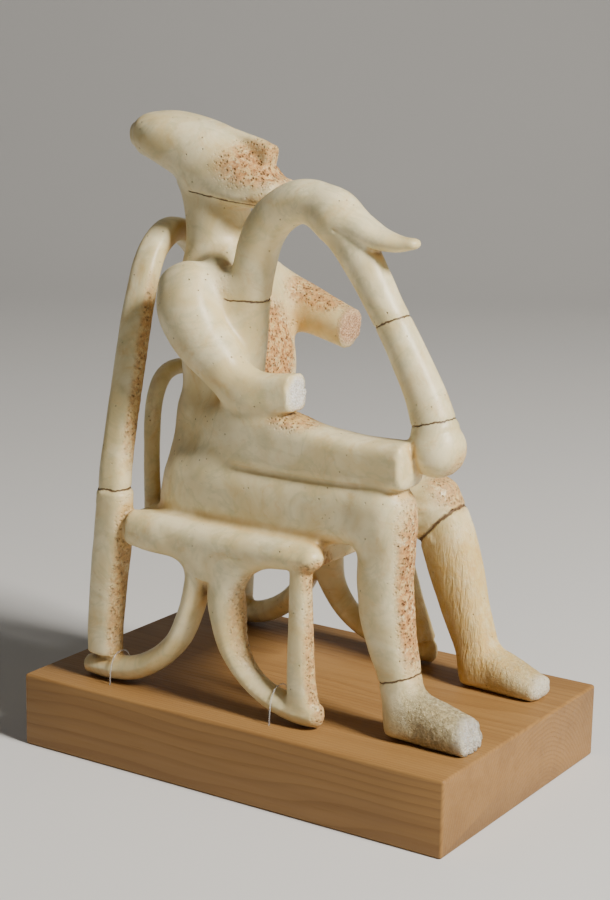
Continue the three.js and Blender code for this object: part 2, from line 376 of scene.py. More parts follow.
@dataclass(frozen=True)
class Openwork:
    """Limbs in one upright plane at `x`, cut as if from one board.

    Each limb's station has its half thickness along X first, then its half width in the plane.
    `corner` is the width of the rounding round the board's edges, and `share` is how soon one
    limb's thickness gives way to the next one's. `usual` is the half thickness far from any limb,
    and every fourth sample of a path is enough to find it.
    """

    x: float
    limbs: tuple[Limb, ...]
    corner: float = 8.0
    share: float = 3.0
    usual: float = 6.0
    every: int = 4
    blend: float | Fillet = 1.0

    def field(self, points: Array) -> Array:
        """Signed distance, negative inside.

        The limbs' distances in the plane are united with their fillets. The near and the far face
        are means of the limbs' own faces, weighted by exp(-distance / share). The distance is a
        rounded greater of the one in the plane and the one from the two faces.

        Args:
            points: the places, one to a row.

        Returns:
            The distances.
        """
        out = np.full(len(points), FAR)
        top = max(row[2] for limb in self.limbs for row in limb.stations) + 3 * REACH
        close = np.flatnonzero((np.abs(points[:, 0] - self.x) < 3 * REACH) & (points[:, 2] < top))
        at = points[close]
        plane = np.full(len(at), FAR)
        total = np.full(len(at), TINY)
        middle, half = total * self.x, total * self.usual
        for limb in self.limbs:
            gap = self.flattened(limb).field(at)
            weight = np.exp(-np.clip(gap, 0, FAR) / self.share) + TINY
            track = {key: rows[:: self.every] for key, rows in limb.track().items()}
            apart = at[:, None, 1:] - track["centre"][None, :, 1:]
            near = (apart**2).sum(axis=2).argmin(axis=1)
            middle += weight * track["centre"][near, 0]
            half += weight * track["sizes"][near, 0]
            total += weight
            plane = smooth_union(plane, gap, limb.blend)
        faces = np.abs(at[:, 0] - middle / total) - half / total
        out[close] = -smooth_union(-plane, -faces, self.corner)
        return out

    def flattened(self, limb: Limb) -> Limb:
        """A limb moved into the board's own plane, and without end across it.

        Args:
            limb: one of the board's limbs.

        Returns:
            The limb whose field is a distance in the plane.
        """
        rows = np.array(limb.stations)
        rows[:, 0] = self.x
        rows[:, 3] = UNBOUNDED
        return replace(limb, stations=tuple(map(tuple, rows)))


Solid = Limb | Ball | Openwork


def mirrored(rows: Rows) -> Rows:
    """The same stations on the figure's other side."""
    return tuple((-x, y, z, a, b) for x, y, z, a, b in rows)


def in_plane(x: float, rows: Rows) -> Rows:
    """Stations in the upright plane at `x`.

    Args:
        x: the plane's place.
        rows: y, z, half width, half depth and, where there is one, the inset to the middle.

    Returns:
        The stations as a limb takes them.
    """
    sign = math.copysign(1.0, x)
    padded = ((*row, 0.0)[:5] for row in rows)
    return tuple((x - sign * inset, y, z, wide, deep) for y, z, wide, deep, inset in padded)


# ------------------------------------------------------------------ the chair
@dataclass(frozen=True)
class Chair:
    """Two side frames of posts and curved legs, a seat, and a back of two arches."""

    side: float = 46.0
    ledge_side: float = 41.0
    rear_post: Rows = (
        (68.4, 11, 6.2, 6.5), (68.2, 22, 6.2, 6.8), (66.6, 40, 6.4, 7.0),
        (64.4, 58, 6.4, 7.2), (63.2, 78, 5.9, 6.6),
    )
    front_post_right: Rows = (
        (-24.6, 62, 3.8, 3.8), (-25, 38, 4.2, 4.4), (-25.6, 18, 4.7, 5.0), (-26.2, 12, 5.0, 5.4),
        (-26.6, 8.5, 5.1, 5.6),
    )
    front_post_left: Rows = (
        (-9.5, 62, 3.8, 4), (-13.4, 46, 4.2, 4.6), (-18.6, 28, 4.6, 4.8), (-25.4, 9, 5.2, 5.4),
    )
    rear_curve: Rows = (
        (22, 58, 6.4, 6.0, 1), (24, 46, 7.4, 4.8, 1.8), (27.5, 34, 7.8, 4.2, 1.9),
        (33.5, 22, 7.8, 4.2, 1.9), (43, 12.5, 7.4, 4.6, 1.4), (54, 6.8, 6.6, 4.9, 0.6),
        (66, 4.9, 6.0, 5.2), (72, 4.7, 5.8, 4.9), (76, 4.2, 5.6, 4.0),
    )
    front_curve_right: Rows = (
        (9, 58, 6.2, 8.0, 1), (10, 44, 7.2, 7.6, 1.4), (9, 35, 7.4, 6.6, 1.5),
        (6.5, 26, 6.8, 5.8, 0.8), (0.5, 17, 6.2, 5.0, 0.3), (-8, 10.5, 6, 4.8),
        (-18, 7, 6, 5), (-27, 5.6, 5.8, 5.3), (-32.6, 5.4, 5.4, 5),
    )
    front_curve_left: Rows = (
        (19, 58, 5.2, 8.0), (20.5, 44, 5.8, 7.6), (20.5, 35, 6.0, 6.6), (18.5, 26, 6.0, 5.8),
        (12.5, 17, 6.0, 5.2), (3, 10, 6.0, 4.8), (-10, 6.4, 6.0, 5.0), (-22, 5.2, 5.8, 5.2),
        (-29.5, 5.2, 5.4, 5.0),
    )
    web_right: Rows = ((14.6, 50, 5, 11), (13.8, 55, 5.2, 15), (13.6, 62, 5.2, 19))
    web_left: Rows = ((22, 41, 5, 11), (22, 50, 5.2, 13.6), (22, 60, 5.2, 19))
    rail: Rows = (
        (54, 64.6, 6, 7.4), (45, 64.1, 6.4, 7.8), (20, 63.6, 6.4, 7.2),
        (0, 64.6, 6.4, 6.6), (-20, 65.8, 6.2, 5.6), (-28, 66, 5.8, 5.2),
    )
    back_arch: Rows = (
        (-46, 63.5, 74, 6.2, 5.6), (-44.2, 64, 88, 6.2, 5.2), (-36.5, 65.6, 113.8, 6.2, 4.6),
        (-24.3, 67.8, 150.5, 6, 4.6), (-14, 69.2, 169.5, 5.8, 4.8),
    )
    arch_top: tuple[float, ...] = (0, 69.6, 176.4, 5.8, 5)
    inner_arch: Rows = (
        (-22.5, 62.5, 66, 3.4, 3.2), (-20.6, 64.5, 89, 3.2, 3), (-17, 66, 109, 3.2, 3),
        (-10, 67, 118, 3.2, 3),
    )
    inner_top: tuple[float, ...] = (0, 67.4, 120.5, 3.2, 3)
    ledge: Rows = ((50, 67.3, 4, 3.2), (10, 67.3, 4, 3.4), (-18, 67.6, 4, 3.2), (-27, 67.6, 4, 3))
    seat: Rows = ((-43, 15.5, 65, 45, 4.8), (43, 15.5, 65, 45, 4.8))

    def frame_side(self, x: float, post: Rows, curve: Rows, web: Rows) -> list[Solid]:
        """One side: a web with two curved legs and a rail, then the posts.

        Args:
            x: the place of the side's middle plane.
            post: the front post.
            curve: the leg that sweeps forward.
            web: the plate that joins the two legs.

        Returns:
            The side's solids.
        """
        board = (
            Limb(in_plane(x, web), blend=2.0),
            Limb(in_plane(x, self.rear_curve), end=2.4, blend=3.0),
            Limb(in_plane(x, curve), end=3.4, blend=3.0),
            Limb(in_plane(x, self.rail), start=3.0, end=6.0, blend=9.0),
        )
        return [
            Openwork(x, board),
            Limb(in_plane(x, self.rear_post), square=3.0, blend=2.4),
            Limb(in_plane(x, post), square=2.8, blend=1.5),
        ]

    def arch(self, half: Rows, top: tuple[float, ...], square: float) -> Limb:
        """An arch with the profile's exponent `square`, from its right half and its crown."""
        return Limb((*half, top, *mirrored(half)[::-1]), Across.Y, square, blend=1.5)

    def solids(self) -> list[Solid]:
        """Every solid of the chair."""
        right = (self.front_post_right, self.front_curve_right, self.web_right)
        left = (self.front_post_left, self.front_curve_left, self.web_left)
        return [
            *self.frame_side(-self.side, *right),
            *self.frame_side(self.side, *left),
            self.arch(self.back_arch, self.arch_top, 2.8),
            self.arch(self.inner_arch, self.inner_top, 2.4),
            Limb(self.seat, Across.Y, 7.0, blend=2.5),
            Limb(in_plane(-self.ledge_side, self.ledge), blend=3.0),
            Limb(in_plane(self.ledge_side, self.ledge), blend=3.0),
        ]


# ------------------------------------------------------------------ the player
NOSE_BREAK = Break((0, 19.2, 208.5), (0, -1.0, 0.06), 0.4, 0.4)
WRIST_BREAK = Break((-34, -13.6, 125), (-0.1, -1.0, 0.05), 0.7, 0.5)
STUMP_BREAK = Break((31.4, 3.9, 139), (-0.07, -1.0, -0.22), 0.6, 0.5)
RIGHT_TOES = Break((-32.0, -91.6, 6), (0.05, -1.0, 0.25), 1.0, 1.2, (3.4, 1.6))
LEFT_TOES = Break((34.4, -87.9, 5), (0, -1.0, 0.3), 0.5, 1.6, (3.4, 0.5))


@dataclass(frozen=True)
class Player:
    """The seated figure: torso, neck and head, a bent arm, a broken arm, two legs."""

    torso: Rows = (
        (0, 38.5, 66, 36, 18), (0, 39, 78, 34, 17), (0, 40, 88, 30, 15), (0, 38.5, 98, 28, 15),
        (0, 36.6, 112, 27, 15.1), (0, 36, 126, 28, 14.6), (0, 38.4, 140, 29, 13.4),
        (0, 40.5, 152, 32, 12.4), (0, 42.5, 161, 29, 11), (0, 44.5, 167.5, 19, 10),
    )
    neck: Rows = (
        (0, 42, 146, 9, 7), (0, 44.2, 158, 13, 10.8), (0, 46.5, 170, 13.4, 12.4),
        (0, 47.3, 182, 12.9, 12.2), (0, 48.5, 196, 12.7, 14.6),
    )
    head: Rows = (
        (0, 82.4, 213.9, 10.5, 6.4), (0, 78.5, 214, 14, 8.9), (0, 70, 213, 16.5, 10.6),
        (0, 60, 210.2, 17, 12), (0, 49, 206, 16.5, 13), (0, 39, 201.5, 14.7, 12.4),
        (0, 30, 197.6, 12.3, 10.2), (0, 23, 195.2, 9.8, 7.4), (0, 19, 194.6, 7.8, 5.4),
    )
    jaw: Rows = (
        (0, 52, 200.5, 13.2, 6.0), (0, 41, 197.8, 14.6, 7.2), (0, 31, 195.9, 13.9, 6.6),
        (0, 23, 195.0, 11.9, 5.4), (0, 17.5, 195.2, 9.4, 4.2),
    )
    nose: Rows = (
        (0, 50, 218.5, 1.4, 2), (0, 40, 213.6, 2.6, 4.4), (0, 30, 209.4, 3.6, 6),
        (0, 22.4, 207.4, 4.2, 5.2),
    )
    right_arm: Rows = (
        (-31.5, 39.5, 160, 9.8, 11.6), (-35.5, 36, 152, 10.2, 12.2), (-37.2, 28.8, 142, 10, 11),
        (-37.3, 21, 134.6, 9, 9.7), (-37, 14.5, 128, 8, 8.6), (-36.4, 9.5, 124.5, 7, 8),
    )
    forearm: Rows = (
        (-36.4, 12, 126.2, 6.6, 7.6), (-36.2, 6, 123.9, 6.9, 7.8), (-35.6, 0, 123.2, 6.5, 7.7),
        (-34, -16, 125.4, 5.9, 7.0),
    )
    collar: Rows = (
        (-21, 33, 166, 6, 5), (-21, 29, 156, 7, 7), (-21, 27, 140, 8, 8), (-21, 25, 122, 8, 8),
    )
    yoke: Rows = ((-32, 38, 156.5, 8, 8), (-26, 29, 157.5, 7.5, 8), (-21.5, 20, 156.5, 7, 8))
    armpit: Rows = (
        (-25, 35, 157, 6, 6), (-26.5, 29, 148, 6, 7), (-27.5, 23, 137, 6, 7), (-29, 17, 126, 6, 6),
    )
    left_arm: Rows = (
        (30.5, 39, 149, 10, 11), (33, 29.5, 146, 9.6, 10), (32.5, 18, 142.6, 8.8, 9),
        (31.4, 2.0, 137.9, 7.3, 7.8),
    )
    right_thigh: Rows = (
        (-29, 36, 82, 12, 12.5), (-31.5, 20, 82.5, 11.2, 12.5), (-32.5, -20, 82.6, 10.4, 12.4),
        (-33, -40, 83.6, 10, 11.8), (-33, -53, 84.4, 9.6, 10.6),
    )
    right_shin: Rows = (
        (-33, -52.5, 86, 9.4, 9.6), (-33, -53.8, 72, 9, 10.4), (-33, -53.4, 59, 8.7, 10.3),
        (-33, -54.8, 46, 8.5, 10.1), (-33, -57.6, 34, 8.1, 8.8), (-33, -60.4, 25, 7.7, 7.9),
        (-33.2, -62.4, 16, 7.6, 7.6), (-33.2, -64.2, 4, 7.6, 7.2),
    )
    right_foot: Rows = (
        (-33.4, -62, 9, 7.6, 9), (-33.2, -67.5, 9, 8, 9.4), (-32.8, -75, 7.6, 8.4, 8.6),
        (-32.4, -83, 6.2, 8.9, 7.1), (-32.2, -93, 4.6, 8.8, 5.7),
    )
    left_thigh: Rows = (
        (29, 36, 80, 12, 12.5), (32, 20, 77.5, 11.2, 12), (35, -12, 73.4, 10.6, 11.2),
        (37, -31, 71, 10.2, 10.4),
    )
    left_shin: Rows = (
        (37, -33.2, 72, 10, 10.8), (37.3, -39, 62, 9.6, 11.2), (37, -44.8, 46, 9.2, 11),
        (36.5, -50, 31, 8.6, 9.6), (36, -56.4, 15, 8.2, 8.2), (36, -59, 4, 8.4, 7.6),
    )
    left_foot: Rows = (
        (35.4, -56.4, 7.6, 7.8, 8.4), (35, -64.5, 7.6, 8.4, 8.6), (34.6, -72.5, 6.2, 8.8, 7.2),
        (34.4, -80.5, 4.6, 8.8, 5.4), (34.4, -85, 3.8, 8.4, 4.4),
    )

    sound_box: Rows = (
        (-17, 40, 103, 8, 9), (-23, 30, 103.8, 9, 10), (-28, 21, 104.6, 9.8, 11),
        (-31, 11, 105.2, 10.3, 11.8), (-32, -5, 105.2, 10, 11.5), (-32.2, -20, 103.6, 9.6, 9.8),
        (-32.4, -40, 103, 9.4, 8.6), (-32.6, -61.6, 104, 9.2, 8.4),
    )

    def solids(self) -> list[Solid]:
        """Every solid of the figure, with the sound box that grows out of its side."""
        return [
            Limb(self.torso, square=3.2, end=2.5),
            Limb(self.neck, square=2.2, blend=8.0),
            Limb(self.head, square=2.5, start=4.4, end=3.5, blend=Fillet(1.4, 6.0, 42.0, 56.0)),
            Limb(self.jaw, square=4.0, start=3.0, end=2.5, blend=Fillet(1.4, 3.0, 42.0, 52.0)),
            Limb(self.nose, square=2.6, blend=1.8, broken=NOSE_BREAK),
            Limb(self.collar, square=2.2, start=5.0, end=5.0, blend=7.0),
            Limb(self.yoke, square=2.2, start=5.0, end=5.0, blend=7.0),
            Limb(self.armpit, square=2.2, start=5.0, end=5.0, blend=7.0),
            Limb(self.right_arm, square=2.2, start=9.0, end=4.0, blend=4.0),
            Limb(self.forearm, square=3.6, start=7.0, blend=2.0, broken=WRIST_BREAK),
            Limb(self.left_arm, square=2.1, start=8.0, blend=7.0, broken=STUMP_BREAK),
            Limb(self.sound_box, square=4.0, start=4.0, end=2.5, blend=Fillet(3.0, 10.0, 0.0, 22.0)),
            Limb(self.right_thigh, square=2.9, start=11.0, end=9.5, blend=Fillet(2.4, 12.0, 4.0, 30.0)),
            Limb(self.left_thigh, square=2.6, start=11.0, end=9.0, blend=7.0),
            Limb(self.right_shin, square=2.6, start=8.0, blend=7.0),
            Limb(self.left_shin, square=2.5, start=8.0, blend=7.0),
            Limb(self.right_foot, square=2.8, start=4.0, blend=4.0, broken=RIGHT_TOES),
            Limb(self.left_foot, square=2.6, start=5.0, end=3.5, blend=4.0, broken=LEFT_TOES),
        ]


# ------------------------------------------------------------------ the harp
@dataclass(frozen=True)
class Harp:
    """Bent frame, duck's bill and the knob at the column's foot."""

    arm: Rows = (
        (-21, 21.5, 118, 8, 9), (-21, 18.6, 140, 7.8, 8.2), (-21, 17.2, 156, 7.8, 8),
        (-21, 15, 169.5, 7.9, 8.1), (-21.5, 11.3, 180.5, 8, 8.2), (-22, 4.5, 189.2, 8, 8.2),
        (-22, -6, 194.6, 8, 8.4), (-22.2, -16.4, 193, 8, 8.8), (-22.6, -24.6, 187.2, 7.8, 8.8),
        (-23, -35.2, 173.4, 7.0, 7.6), (-23, -44.3, 159.2, 6.8, 6.8), (-23, -53.8, 143.6, 6.9, 7),
        (-23.5, -62.6, 128.2, 7.4, 7.6), (-24, -67.6, 116, 8.4, 8.8),
    )
    beak: Rows = (
        (-22.4, -22, 190.0, 8.2, 8.4), (-22.6, -28, 188.2, 8.0, 7.4), (-23, -35, 185.9, 7.4, 5.6),
        (-23, -41.2, 183.8, 6.4, 4.3), (-23, -49.6, 182.5, 4.8, 3.1), (-23, -54.4, 182.9, 3.7, 2.2),
    )
    brow: Ball = Ball((-22.4, -21.6, 191.0), 8.4, 5.0)
    knob: Ball = Ball((-24, -68.4, 109.8), 10.8, 2.0)
    bill_groove: Rows = (
        (-31.2, -27, 186.4, 0.9, 0.7), (-31.0, -31, 184.6, 1.2, 0.9), (-30.6, -37, 181.6, 1.6, 1.2),
        (-29.0, -43, 178.8, 2.2, 1.2), (-26.0, -46, 177.5, 2.6, 1.0),
    )

    def solids(self) -> list[Solid]:
        """Every solid of the harp."""
        return [
            Limb(self.arm, square=2.1, blend=2.5),
            Limb(self.beak, square=2.2, start=6.0, end=3.5, blend=1.2),
            self.brow,
            self.knob,
        ]

    def grooves(self) -> list[Limb]:
        """The line under the bill."""
        return [Limb(self.bill_groove, square=2.0, start=2.0, end=2.0, blend=0.8)]


# ------------------------------------------------------------------ surface of a field
def skin(values: Array, origin: Array, cell: float) -> tuple[Array, Array]:
    """The zero surface of a field on a grid.

    Each cell that the surface crosses gets one point, the mean of the crossings on its twelve
    edges, and each grid edge that the surface crosses gets one four-sided face.

    Args:
        values: the field on the grid.
        origin: the place of the grid's first point.
        cell: the grid's spacing.

    Returns:
        The points, one to a row, and the faces, four point numbers to a row.
    """
    inside = values < 0
    corners = list(product((0, 1), repeat=3))
    size = np.array(values.shape) - 1
    shifted = [
        inside[i : i + size[0], j : j + size[1], k : k + size[2]] for i, j, k in corners
    ]
    count = sum(part.astype(np.int8) for part in shifted)
    cells = np.argwhere((count > 0) & (count < 8))
    number = np.full(size, -1)
    number[tuple(cells.T)] = np.arange(len(cells))
    total = np.zeros((len(cells), 3))
    crossings = np.zeros(len(cells))
    for a, b in product(corners, corners):
        step = np.subtract(b, a)
        if step.min() < 0 or step.sum() != 1:
            continue
        fa = values[tuple((cells + a).T)]
        fb = values[tuple((cells + b).T)]
        cut = (fa < 0) != (fb < 0)
        t = np.where(cut, fa / np.where(cut, fa - fb, 1.0), 0.0)
        total += np.where(cut[:, None], a + t[:, None] * step, 0.0)
        crossings += cut
    points = origin + cell * (cells + total / crossings[:, None])
    faces = []
    for axis in range(3):
        step = np.eye(3, dtype=int)[axis]
        u, v = np.roll(step, 1), np.roll(step, 2)
        spans = tuple(slice(1, n - 1) for n in values.shape)
        ahead = tuple(slice(1 + s, n - 1 + s) for s, n in zip(step, values.shape))
        here, there = inside[spans], inside[ahead]
        for solid_first in (True, False):
            edges = np.argwhere((here & ~there) if solid_first else (~here & there)) + 1
            ring = [edges, edges - u, edges - u - v, edges - v]
            quad = np.stack([number[tuple(part.T)] for part in ring], axis=1)
            faces.append(quad if solid_first else quad[:, ::-1])
    return points, np.vstack(faces)


@dataclass
class Carving:
    """The whole marble as one field.

    `groups` are its parts, each blended within itself, and the fillets that join each to the ones
    before it. `grooves` are narrow limbs that are taken out of it, and `low` is the height of its
    flat underside. Up to `few` points go through in one thread, and more are split into `shares`
    for each thread.
    """

    groups: list[tuple[list[Solid], float | Fillet]]
    grooves: list[Limb]
    low: float
    few: int = 4000
    shares: int = 4
    ratio: int = 4
    near: float = 1.9

    def field(self, points: Array) -> Array:
        """Signed distance to the marble, worked out by several threads at once.

        Args:
            points: the places, one to a row.

        Returns:
            The distances, negative inside.
        """
        if len(points) < self.few:
            return self._field(points)
        with ThreadPoolExecutor(THREADS) as pool:
            shares = np.array_split(points, THREADS * self.shares)
            return np.concatenate(list(pool.map(self._field, shares)))

    def _field(self, points: Array) -> Array:
        """The field at one share of the points.

        Each group's solids are united with their own fillets, the groups with their joints, and
        then the grooves are taken out and everything below the underside is cut off.

        Args:
            points: the places, one to a row.

        Returns:
            The distances, negative inside.
        """
        total = np.full(len(points), FAR)
        for group, joint in self.groups:
            part = np.full(len(points), FAR)
            for solid in group:
                part = smooth_union(part, solid.field(points), fillet_at(solid.blend, points))
            total = smooth_union(total, part, fillet_at(joint, points))
        for groove in self.grooves:
            total = -smooth_union(-total, groove.field(points), groove.blend)
        return np.maximum(total, self.low - points[:, 2])

    def grid_field(self, low: Array, shape: Array, cell: float) -> Array:
        """The field on a grid.

        A grid `ratio` times as coarse comes first. Only where its value is below `near` of its
        cells is the fine grid's own value worked out; elsewhere the coarse one is repeated.

        Args:
            low: the place of the grid's first point.
            shape: the grid's counts of points.
            cell: the grid's spacing.

        Returns:
            The distances, in an array of that shape.
        """
        ratio = self.ratio
        rough_shape = -(-shape // ratio) + 1
        axes = [low[i] + cell * ratio * np.arange(rough_shape[i]) for i in range(3)]
        places = np.stack(np.meshgrid(*axes, indexing="ij"), axis=-1).reshape(-1, 3)
        rough = self.field(places).reshape(rough_shape)
        full = rough
        near = np.abs(rough) < cell * ratio * self.near
        for axis in range(3):
            full = np.repeat(full, ratio, axis=axis)
            near = np.repeat(near, ratio, axis=axis)
        window = tuple(slice(ratio // 2, ratio // 2 + count) for count in shape)
        full, near = full[window].copy(), near[window]
        full[near] = self.field(low + cell * np.argwhere(near))
        return full

    def slope(self, points: Array, step: float) -> Array:
        """The field's direction of steepest rise, from differences over `step` each way."""
        rise = [self.field(points + shift) - self.field(points - shift) for shift in np.eye(3) * step]
        return unit(np.stack(rise, axis=1))

    def settle(self, points: Array, rounds: int, step: float) -> Array:
        """Points moved along the slope until they lie on the surface.

        Args:
            points: the places, one to a row.
            rounds: how many times to move them.
            step: the farthest a point may go in one round.

        Returns:
            The moved points.
        """
        for _ in range(rounds):
            shift = np.clip(self.field(points), -step, step)
            points = points - self.slope(points, step * 0.5) * shift[:, None]
        return points


def make_mesh(name: str, points: Array, faces: Array) -> bpy.types.Object:
    """A smooth-shaded object at the origin.

    Args:
        name: the piece's name.
        points: the points in metres, one to a row.
        faces: point numbers, one face to a row and all faces with as many sides.

    Returns:
        The object, linked to the scene.
    """
    mesh = bpy.data.meshes.new(name)
    sides = faces.shape[1]
    mesh.vertices.add(len(points))
    mesh.vertices.foreach_set("co", points.astype(np.float32).ravel())
    mesh.loops.add(faces.size)
    mesh.loops.foreach_set("vertex_index", faces.astype(np.int32).ravel())
    mesh.polygons.add(len(faces))
    mesh.polygons.foreach_set("loop_start", np.arange(0, faces.size, sides, dtype=np.int32))
    mesh.polygons.foreach_set("use_smooth", np.ones(len(faces), dtype=bool))
    mesh.update(calc_edges=True)
    mesh.validate()
    piece = bpy.data.objects.new(name, mesh)
    bpy.context.scene.collection.objects.link(piece)
    return piece


def declare(piece: bpy.types.Object, node: str) -> bpy.types.Object:
    """A piece that rides the one body.

    Args:
        piece: the finished piece.
        node: the solid whose place it takes.

    Returns:
        The same piece.
    """
    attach(piece, BODY)
    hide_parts(node)
    return piece


# ------------------------------------------------------------------ shader wiring
Socket = bpy.types.NodeSocket


class Sketch:
    """A material's node tree, with one short method for each kind of step."""

    def __init__(self, name: str) -> None:
        """An empty material called `name` with a Principled shader."""
        self.material = bpy.data.materials.new(name)
        self.material.use_nodes = True
        self.tree = self.material.node_tree
        self.shader = self.tree.nodes["Principled BSDF"]
        self.place = self.node("ShaderNodeTexCoord").outputs["Object"]

    def node(self, kind: str, **settings: object) -> bpy.types.Node:
        """A new node with its settings."""
        node = self.tree.nodes.new(kind)
        for key, value in settings.items():
            setattr(node, key, value)
        return node

    def feed(self, socket: Socket, value: object) -> None:
        """A socket's link or its own value."""
        if isinstance(value, bpy.types.NodeSocket):
            self.tree.links.new(value, socket)
        else:
            socket.default_value = value

    def sum(self, kind: str, *values: object) -> Socket:
        """A Math node."""
        node = self.node("ShaderNodeMath", operation=kind)
        for socket, value in zip(node.inputs, values):
            self.feed(socket, value)
        return node.outputs[0]

    def vector(self, kind: str, *values: object) -> Socket:
        """A Vector Math node's vector."""
        node = self.node("ShaderNodeVectorMath", operation=kind)
        for socket, value in zip(node.inputs, values):
            self.feed(socket, value)
        return node.outputs["Value" if kind in ("DOT_PRODUCT", "LENGTH", "DISTANCE") else "Vector"]

    def stretch(self, scale: Point, move: Point = (0, 0, 0)) -> Socket:
        """Object coordinates, scaled and then moved.

        Args:
            scale: the factor along each axis.
            move: the shift along each axis.

        Returns:
            The new coordinates.
        """
        node = self.node("ShaderNodeMapping")
        self.feed(node.inputs["Vector"], self.place)
        node.inputs["Location"].default_value = move
        node.inputs["Scale"].default_value = scale
        return node.outputs[0]

    def noise(self, size: float, detail: float = 3.0, rough: float = 0.5, warp: float = 0.0,
              at: Socket | None = None) -> Socket:
        """Noise from 0 to 1.

        Args:
            size: about how many millimetres its patches are across.
            detail: how many finer layers it has.
            rough: how strong the finer layers are.
            warp: how far it is pulled about.
            at: the coordinates it reads, or None for the object's own.

        Returns:
            The noise's value.
        """
        node = self.node("ShaderNodeTexNoise")
        self.feed(node.inputs["Vector"], at or self.place)
        node.inputs["Scale"].default_value = 1.0 / (size * MM)
        node.inputs["Detail"].default_value = detail
        node.inputs["Roughness"].default_value = rough
        node.inputs["Distortion"].default_value = warp
        return node.outputs["Fac"]

    def cells(self, size: float) -> Socket:
        """Distance to the nearest of many scattered points about `size` millimetres apart."""
        node = self.node("ShaderNodeTexVoronoi")
        self.feed(node.inputs["Vector"], self.place)
        node.inputs["Scale"].default_value = 1.0 / (size * MM)
        return node.outputs["Distance"]

    def step(self, value: object, low: float, high: float, start: float = 0.0,
             stop: float = 1.0) -> Socket:
        """An S-shaped change.

        Args:
            value: what is compared.
            low: where the change begins.
            high: where it ends.
            start: the result below `low`.
            stop: the result above `high`.

        Returns:
            The changed value.
        """
        node = self.node("ShaderNodeMapRange", interpolation_type="SMOOTHSTEP")
        keys = ("Value", "From Min", "From Max", "To Min", "To Max")
        for key, number in zip(keys, (value, low, high, start, stop)):
            self.feed(node.inputs[key], number)
        return node.outputs[0]

    def mask(self, mask: Mask) -> Socket:
        """One of the surface's own attributes."""
        node = self.node("ShaderNodeAttribute", attribute_name=mask.value)
        return node.outputs["Fac"]

    def tint(self, share: object, first: object, second: object) -> Socket:
        """One colour over another.

        Args:
            share: how much of the second colour shows.
            first: the colour below.
            second: the colour above.

        Returns:
            The mixed colour.
        """
        node = self.node("ShaderNodeMix", data_type="RGBA")
        sockets = (node.inputs[0], node.inputs[6], node.inputs[7])
        for socket, value in zip(sockets, (share, first, second)):
            self.feed(socket, (*value, 1.0) if isinstance(value, tuple) else value)
        return node.outputs[2]

    def bump(self, height: Socket, depth: float, below: Socket | None = None) -> Socket:
        """A normal bent by a height.

        Args:
            height: the height, from 0 to 1.
            depth: how many millimetres a height of 1 stands off.
            below: the normal that it is laid over, if any.

        Returns:
            The bent normal.
        """
        node = self.node("ShaderNodeBump")
        node.inputs["Strength"].default_value = 1.0
        node.inputs["Distance"].default_value = depth * MM
        self.feed(node.inputs["Height"], height)
        if below is not None:
            self.feed(node.inputs["Normal"], below)
        return node.outputs[0]

    def finish(self, colour: Socket, rough: object, normal: Socket | None,
               **constants: object) -> None:
        """Fills the shader's sockets.

        Args:
            colour: the base colour.
            rough: the roughness.
            normal: the normal, if it is bent.
            constants: plain values, by the sockets' names with _ for a space.
        """
        self.feed(self.shader.inputs["Base Color"], colour)
        self.feed(self.shader.inputs["Roughness"], rough)
        if normal is not None:
            self.feed(self.shader.inputs["Normal"], normal)
        for key, value in constants.items():
            self.shader.inputs[key.replace("_", " ")].default_value = value


Colour = tuple[float, float, float]


@dataclass(frozen=True)
class Crack:
    """A dark line across a limb, a plane through `at`, square to `along`, within `reach`: a hairline, and
    once painted shade in a crease.
    """

    at: Point
    along: Point
    reach: float
    width: float = 0.35
    depth: float = 0.35


CRACKS_AND_CREASE_SHADE = (
    Crack((-24, -51, 155.5), (0.0, -0.42, -0.9), 11.5, 0.4),
    Crack((-24, -68.5, 119.8), (0.0, -0.26, -0.97), 15.5, 0.4),
    Crack((-21, 17, 156.3), (0.06, 0.05, -1.0), 12.0, 0.5, 0.5),
    Crack((-46, 64, 79.1), (0.0, 0.05, 1.0), 12.0, 0.5, 0.5),
    Crack((-33, -65, 24.2), (0.0, -0.3, -0.95), 14.0, 0.5, 0.5),
    Crack((37, -40.5, 65.5), (0.0, 0.73, 0.69), 17.0, 1.0, 0.9),
    # painted shade: the crease under the jaw, drawn as a near-black line over a shallow groove
    Crack((-14, 36, 191.6), (0.0, -0.135, 0.99), 17.5, 0.45, 0.25),
)


